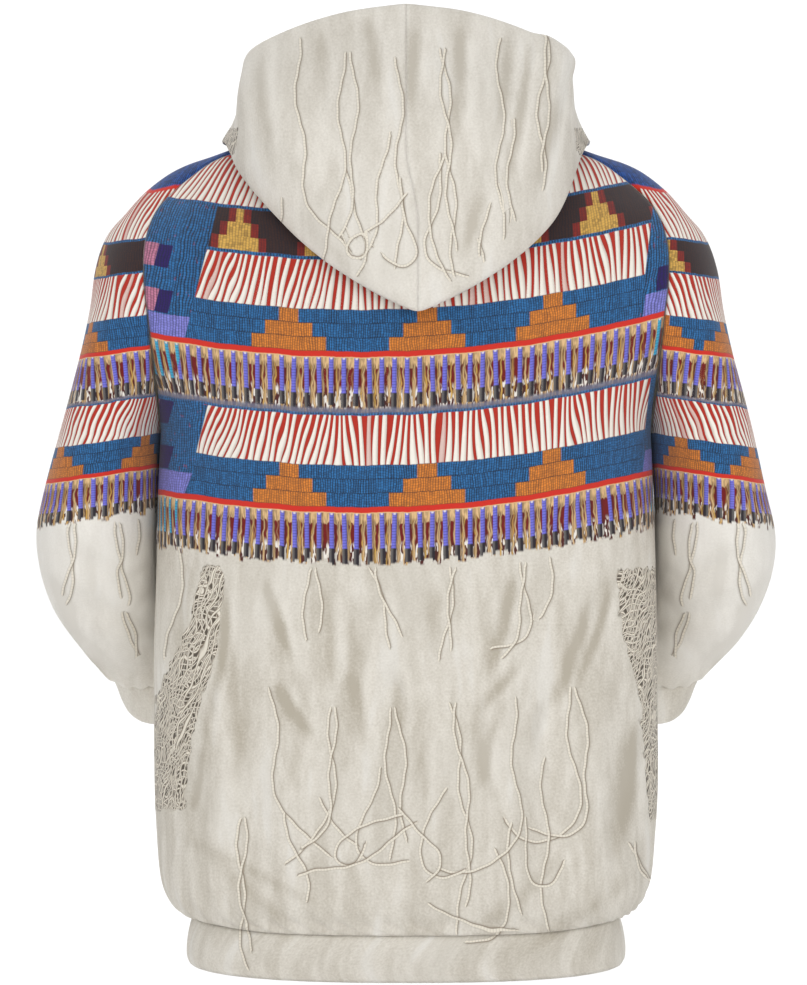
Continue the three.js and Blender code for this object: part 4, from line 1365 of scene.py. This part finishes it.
def make_cuff(left):
    """One cuff, made on the left and mirrored for the right."""
    sizes = bpy.context.scene.hoodie_sizes
    points, _, _ = even_grid(cuff_points, len(CUFF_RADII) - 1, (1, -1), sizes.step * 1000)
    points[:, -1] = points[:, 0]
    data = plain_print(points, 21 if left else 22)
    normals = grid_normals(points, -1, 0)
    high = gathers(arc(points, 1), arc(points, 0), CUFF_PUCKERS, 14)
    high[:, -1] = high[:, 0]
    high = high + rolled(points, ("top", "bottom"), sizes.seam_turn * 1000, SEAM_WIDTH)
    points = points + normals * high[..., None]
    points[:, -1] = points[:, 0]
    normals = grid_normals(points, -1, 0)
    sign = -1
    node = "cuff_left" if left else "cuff_right"
    if not left:
        points, normals, sign = mirrored(points), mirrored(normals), 1
    piece = cloth_shell("printed_" + node, points, normals, data, sign, 0)
    seat(piece, node)


def make_hem():
    """The band round the hem."""
    sizes = bpy.context.scene.hoodie_sizes
    points, _, _ = even_grid(hem_points, len(HEM) - 1, (0, 4), sizes.step * 1000)
    points[:, -1] = points[:, 0]
    data = plain_print(points, 1, SHADES, THONGS)
    normals = grid_normals(points, 1, 0)
    high = gathers(arc(points, 1), arc(points, 0), HEM_PUCKERS, 15) * ease(arc(points, 0), 0, 8)
    high[:, -1] = high[:, 0]
    high = high + rolled(points, ("bottom",), sizes.seam_turn * 1000, SEAM_WIDTH)
    points = points + normals * high[..., None] + levelled(points, arc(points, 0), 38, sizes)
    points[..., 2] += 0.8 * (1 - ease(arc(points, 0), 0, 4))
    points[:, -1] = points[:, 0]
    normals = grid_normals(points, 1, 0)
    piece = cloth_shell("printed_hem_band", points, normals, data, 1, 0)
    seat(piece, "hem_band")


def make_hood(left):
    """One half of the hood, with its edge at the middle seam."""
    sizes = bpy.context.scene.hoodie_sizes
    points = hood_grid(210, 170)
    whole = np.concatenate([mirrored(points)[:, :0:-1], points], axis=1).transpose(1, 0, 2)
    points = smoothed(whole, 7).transpose(1, 0, 2)[:, points.shape[1] - 1:]
    share = np.broadcast_to(np.linspace(0, 1, len(points))[:, None], points.shape[:2])
    if not left:
        points = mirrored(points)
    slid = HOOD_SLIDE * ease(-points[..., 2], 30, 90) * ease(share, 0.3, 0.48)
    points[..., 0] -= slid
    sign = 1 if left else -1
    necks = [TANGLE_NECK, [(2 * PICTURE_MIDDLE[0] - x, y) for x, y in TANGLE_NECK]]
    # The last number, 0.15, is painted light that lightens the whole hood
    data = plain_print(points, 31, HOOD_SHADES, HOOD_THONGS, share > 0.42, necks, 0.15)
    normals = grid_normals(points, sign)
    x, z = points[..., 0], points[..., 2]
    outer = ease(share, 0.5, 0.62) * ease(points[..., 1], 20, 70)
    high = sum(ridge(x, z, crease) for crease in HOOD_CREASES) * sizes.creases * outer
    high = high + undulation(points, 8, 0.7, 90) * ease(arc(points, 1), -1, 40)
    high = high * ease(arc(points, 0), 0, 20)
    roll = rolled(points, ("top", "bottom", "right"), sizes.seam_turn * 1000, SEAM_WIDTH)
    points = points + normals * (high + roll)[..., None]
    points[:, 0, 0] = -slid[:, 0]
    off_middle = np.maximum(sign * (points[..., 0] + slid), 0)
    points[..., 0] = sign * off_middle - slid
    normals = grid_normals(points, sign)
    # The inner side of the wall stays on its own side of the middle seam too
    normals[..., 0] = sign * np.minimum(sign * normals[..., 0], off_middle / (sizes.wall * 1000))
    node = "hood_left" if left else "hood_right"
    piece = cloth_shell("printed_" + node, points, normals, data, sign)
    seat(piece, node)


# Settings


class HoodieSizes(bpy.types.PropertyGroup):
    """Sizes of the cloth that aren't in the solids' tables."""

    wall: bpy.props.FloatProperty(
        name="Cloth thickness", description="Thickness of the cloth", default=0.002, unit="LENGTH")
    step: bpy.props.FloatProperty(
        name="Mesh step", description="Distance between two rows of the fine mesh", default=0.0031,
        unit="LENGTH")
    seam_turn: bpy.props.FloatProperty(
        name="Seam turn", description="How far the cloth turns in at a seam", default=0.0009, unit="LENGTH")
    level_hem: bpy.props.FloatProperty(
        name="Level hem", description="How far the cloth is let out beside the hem seam", default=0.012,
        unit="LENGTH")
    creases: bpy.props.FloatProperty(
        name="Creases", description="How strong the creases are, as a share", default=1.0, subtype="FACTOR")


def colour_property(name, description, *value):
    """A colour setting, given as it is seen on a screen."""
    return bpy.props.FloatVectorProperty(
        name=name, description=description, default=paint(*value), subtype="COLOR", size=3)


class HoodieColours(bpy.types.PropertyGroup):
    """Colours of the print and finish of the cloth."""

    hide: colour_property("Hide", "Lit hide", 222, 217, 207)
    hide_shade: colour_property("Hide in folds", "Hide in the printed folds", 178, 170, 155)
    reverse: colour_property("Reverse", "Unprinted inside of the cloth", 236, 233, 226)
    thong: colour_property("Thong", "Lit side of a thong", 226, 219, 205)
    thong_edge: colour_property("Thong edge", "Shadow beside a thong", 128, 115, 98)
    tangle_gap: colour_property("Tangle gap", "Dark between tangled thongs", 78, 70, 60)
    strip: colour_property("Strip", "White strips", 240, 235, 225)
    strip_shade: colour_property("Strip in shade", "Shaded side of the white strips", 176, 160, 148)
    red: colour_property("Red", "Ground behind the strips", 176, 46, 32)
    line_red: colour_property("Line red", "Thin bright red lines", 204, 48, 36)
    dark_red: colour_property("Dark red", "Ground at the top of the fringe", 110, 25, 25)
    blue: colour_property("Blue", "Blue beads", 50, 117, 178)
    royal: colour_property("Royal blue", "Blue beads on the shoulders", 42, 90, 172)
    navy: colour_property("Navy", "Navy beads", 45, 25, 100)
    pink: colour_property("Pink", "Pink beads", 205, 130, 160)
    lavender: colour_property("Lavender", "Lavender beads", 140, 140, 225)
    turquoise: colour_property("Turquoise", "Turquoise beads of the fringe", 60, 165, 200)
    violet: colour_property("Violet", "Beaded tubes of the fringe", 114, 112, 210)
    tube_end: colour_property("Tube ends", "Dark ends of the tubes", 45, 40, 46)
    orange: colour_property("Orange", "Stepped shapes in the beadwork", 226, 136, 54)
    gold: colour_property("Gold", "Gold shapes in the dark row", 222, 176, 88)
    brown: colour_property("Brown", "Dark row", 62, 42, 38)
    tan: colour_property("Tan", "Line above the fringe", 220, 184, 134)
    roughness: bpy.props.FloatProperty(
        name="Roughness", description="Roughness of the cloth", default=0.85, subtype="FACTOR")
    sheen: bpy.props.FloatProperty(
        name="Sheen", description="Soft shine of the fibres", default=0.12, subtype="FACTOR")
    knit_depth: bpy.props.FloatProperty(
        name="Knit depth", description="Strength of the fine knit relief", default=0.25, subtype="FACTOR")


class StageSettings(bpy.types.PropertyGroup):
    """Camera, light and floor."""

    camera_far: bpy.props.FloatProperty(
        name="Camera distance", description="From the middle of the body", default=CAMERA_FAR / 1000,
        unit="LENGTH")
    floor: bpy.props.FloatProperty(
        name="Floor", description="Height of the floor", default=-0.86, unit="LENGTH")
    floor_colour: colour_property("Floor colour", "Colour of the floor and backdrop", 250, 250, 250)
    world: bpy.props.FloatProperty(
        name="Sky", description="Strength of the light from all round", default=0.6)
    key: bpy.props.FloatProperty(
        name="Key light", description="Strength of the main light", default=13, unit="POWER")
    fill: bpy.props.FloatProperty(
        name="Fill light", description="Strength of the light beside the camera", default=34, unit="POWER")
    front: bpy.props.FloatProperty(
        name="Front light", description="Strength of the light on the far side", default=20, unit="POWER")
    backdrop: bpy.props.FloatProperty(
        name="Backdrop light", description="Strength of the light on the backdrop", default=90, unit="POWER")


# The operators


class HOODIE_OT_materials(bpy.types.Operator):
    """Makes the node groups and the finishes of the cloth"""

    bl_idname = "hoodie.materials"
    bl_label = "Cloth and print"
    bl_options = {"REGISTER", "UNDO"}

    def execute(self, context):
        groups = (
            make_strips, make_strings, make_fringe, make_bands,
            make_hide, make_thong, make_tangle, make_knit)
        for make in groups:
            make()
        for name, draw in zip(FINISHES, (draw_hide, draw_reverse, draw_print, draw_tangle)):
            cloth_material(name, draw)
        return {"FINISHED"}


class HOODIE_OT_body(bpy.types.Operator):
    """Builds the back panel and the front panel"""

    bl_idname = "hoodie.body"
    bl_label = "Back and front"
    bl_options = {"REGISTER", "UNDO"}

    def execute(self, context):
        make_panel(True)
        make_panel(False)
        return {"FINISHED"}


class HOODIE_OT_sleeves(bpy.types.Operator):
    """Builds both sleeves"""

    bl_idname = "hoodie.sleeves"
    bl_label = "Sleeves"
    bl_options = {"REGISTER", "UNDO"}

    def execute(self, context):
        make_sleeve(True)
        make_sleeve(False)
        return {"FINISHED"}


class HOODIE_OT_bands(bpy.types.Operator):
    """Builds both cuffs and the hem band"""

    bl_idname = "hoodie.bands"
    bl_label = "Cuffs and hem band"
    bl_options = {"REGISTER", "UNDO"}

    def execute(self, context):
        make_cuff(True)
        make_cuff(False)
        make_hem()
        return {"FINISHED"}


class HOODIE_OT_hood(bpy.types.Operator):
    """Builds both halves of the hood"""

    bl_idname = "hoodie.hood"
    bl_label = "Hood"
    bl_options = {"REGISTER", "UNDO"}

    def execute(self, context):
        make_hood(True)
        make_hood(False)
        return {"FINISHED"}


class HOODIE_OT_stage(bpy.types.Operator):
    """Builds the floor, the lights and the camera"""

    bl_idname = "hoodie.stage"
    bl_label = "Stage"
    bl_options = {"REGISTER", "UNDO"}

    def execute(self, context):
        make_stage(context)
        return {"FINISHED"}


def area_light(name, place, towards, size, power):
    """A soft square light that faces a place."""
    data = bpy.data.lights.new(name, "AREA")
    data.energy = power
    data.size = size
    light = bpy.data.objects.new(name, data)
    light.location = place
    light.rotation_euler = (Vector(towards) - Vector(place)).to_track_quat("-Z", "Y").to_euler()
    bpy.context.scene.collection.objects.link(light)


def make_stage(context):
    """The floor with its curved backdrop, the lights and the camera."""
    scene = context.scene
    stage = scene.hoodie_stage
    wide, radius, far = 9.0, 2.0, 3.0
    profile = [(9.0, 0.0)] + [
        (-far - radius * math.sin(turn), radius - radius * math.cos(turn))
        for turn in np.linspace(0, math.pi / 2, 17)] + [(-far - radius, 7.0)]
    mesh = bpy.data.meshes.new("floor")
    places = [(side * wide, y, stage.floor + z) for y, z in profile for side in (-1, 1)]
    mesh.from_pydata(places, [], [(2 * i, 2 * i + 1, 2 * i + 3, 2 * i + 2) for i in range(len(profile) - 1)])
    for face in mesh.polygons:
        face.use_smooth = True
    material = bpy.data.materials.new("Floor")
    material.use_nodes = True
    shader = material.node_tree.nodes["Principled BSDF"]
    shader.inputs["Base Color"].default_value = (*stage.floor_colour, 1)
    shader.inputs["Roughness"].default_value = 0.9
    mesh.materials.append(material)
    floor = bpy.data.objects.new("floor", mesh)
    scene.collection.objects.link(floor)

    world = bpy.data.worlds.new("Studio")
    scene.world = world
    world.use_nodes = True
    sky = world.node_tree.nodes["Background"]
    sky.inputs["Color"].default_value = (1, 1, 1, 1)
    sky.inputs["Strength"].default_value = stage.world
    area_light("Key", (1.3, 2.6, 1.4), (0, 0, -0.3), 1.8, stage.key)
    area_light("Fill", (-0.5, 2.6, -0.5), (0, 0, -0.35), 2.2, stage.fill)
    area_light("Front", (0.6, -2.8, 1.2), (0, 0, -0.3), 2.2, stage.front)
    area_light("Backdrop", (0, -1.6, 3.2), (0, -4.6, 0.4), 3.0, stage.backdrop)

    data = bpy.data.cameras.new("Camera")
    data.sensor_fit = "VERTICAL"
    data.angle = 2 * math.atan(PICTURE_HIGH * PICTURE_SCALE / 2000 / stage.camera_far)
    camera = bpy.data.objects.new("Camera", data)
    aside = (PICTURE_WIDE / 2 - PICTURE_MIDDLE[0]) * PICTURE_SCALE / 1000
    camera.location = (-aside, stage.camera_far, CAMERA_HIGH / 1000)
    camera.rotation_euler = (math.pi / 2, 0, math.pi)
    scene.collection.objects.link(camera)
    scene.camera = camera
    scene.view_settings.view_transform = "Standard"


OPERATORS = [
    HOODIE_OT_materials, HOODIE_OT_body, HOODIE_OT_sleeves, HOODIE_OT_bands, HOODIE_OT_hood, HOODIE_OT_stage,
]


class HOODIE_PT_panel(bpy.types.Panel):
    """Settings and operators in the sidebar"""

    bl_label = "Hoodie"
    bl_idname = "HOODIE_PT_panel"
    bl_space_type = "VIEW_3D"
    bl_region_type = "UI"
    bl_category = "Hoodie"

    def draw(self, context):
        for group in (context.scene.hoodie_sizes, context.scene.hoodie_colours, context.scene.hoodie_stage):
            box = self.layout.box()
            for name in group.bl_rna.properties.keys():
                if name not in ("rna_type", "name"):
                    box.prop(group, name)
        for operator in OPERATORS:
            self.layout.operator(operator.bl_idname)


CLASSES = [HoodieSizes, HoodieColours, StageSettings, *OPERATORS, HOODIE_PT_panel]


def register():
    """Adds the classes and their settings to Blender."""
    for made in CLASSES:
        bpy.utils.register_class(made)
    bpy.types.Scene.hoodie_sizes = bpy.props.PointerProperty(type=HoodieSizes)
    bpy.types.Scene.hoodie_colours = bpy.props.PointerProperty(type=HoodieColours)
    bpy.types.Scene.hoodie_stage = bpy.props.PointerProperty(type=StageSettings)


def unregister():
    """Takes the classes and their settings out again."""
    del bpy.types.Scene.hoodie_stage
    del bpy.types.Scene.hoodie_colours
    del bpy.types.Scene.hoodie_sizes
    for made in reversed(CLASSES):
        bpy.utils.unregister_class(made)


def main():
    """Builds the whole scene."""
    register()
    bpy.ops.hoodie.materials()
    bpy.ops.hoodie.body()
    bpy.ops.hoodie.sleeves()
    bpy.ops.hoodie.bands()
    bpy.ops.hoodie.hood()
    bpy.ops.hoodie.stage()


if __name__ == "__main__":
    main()
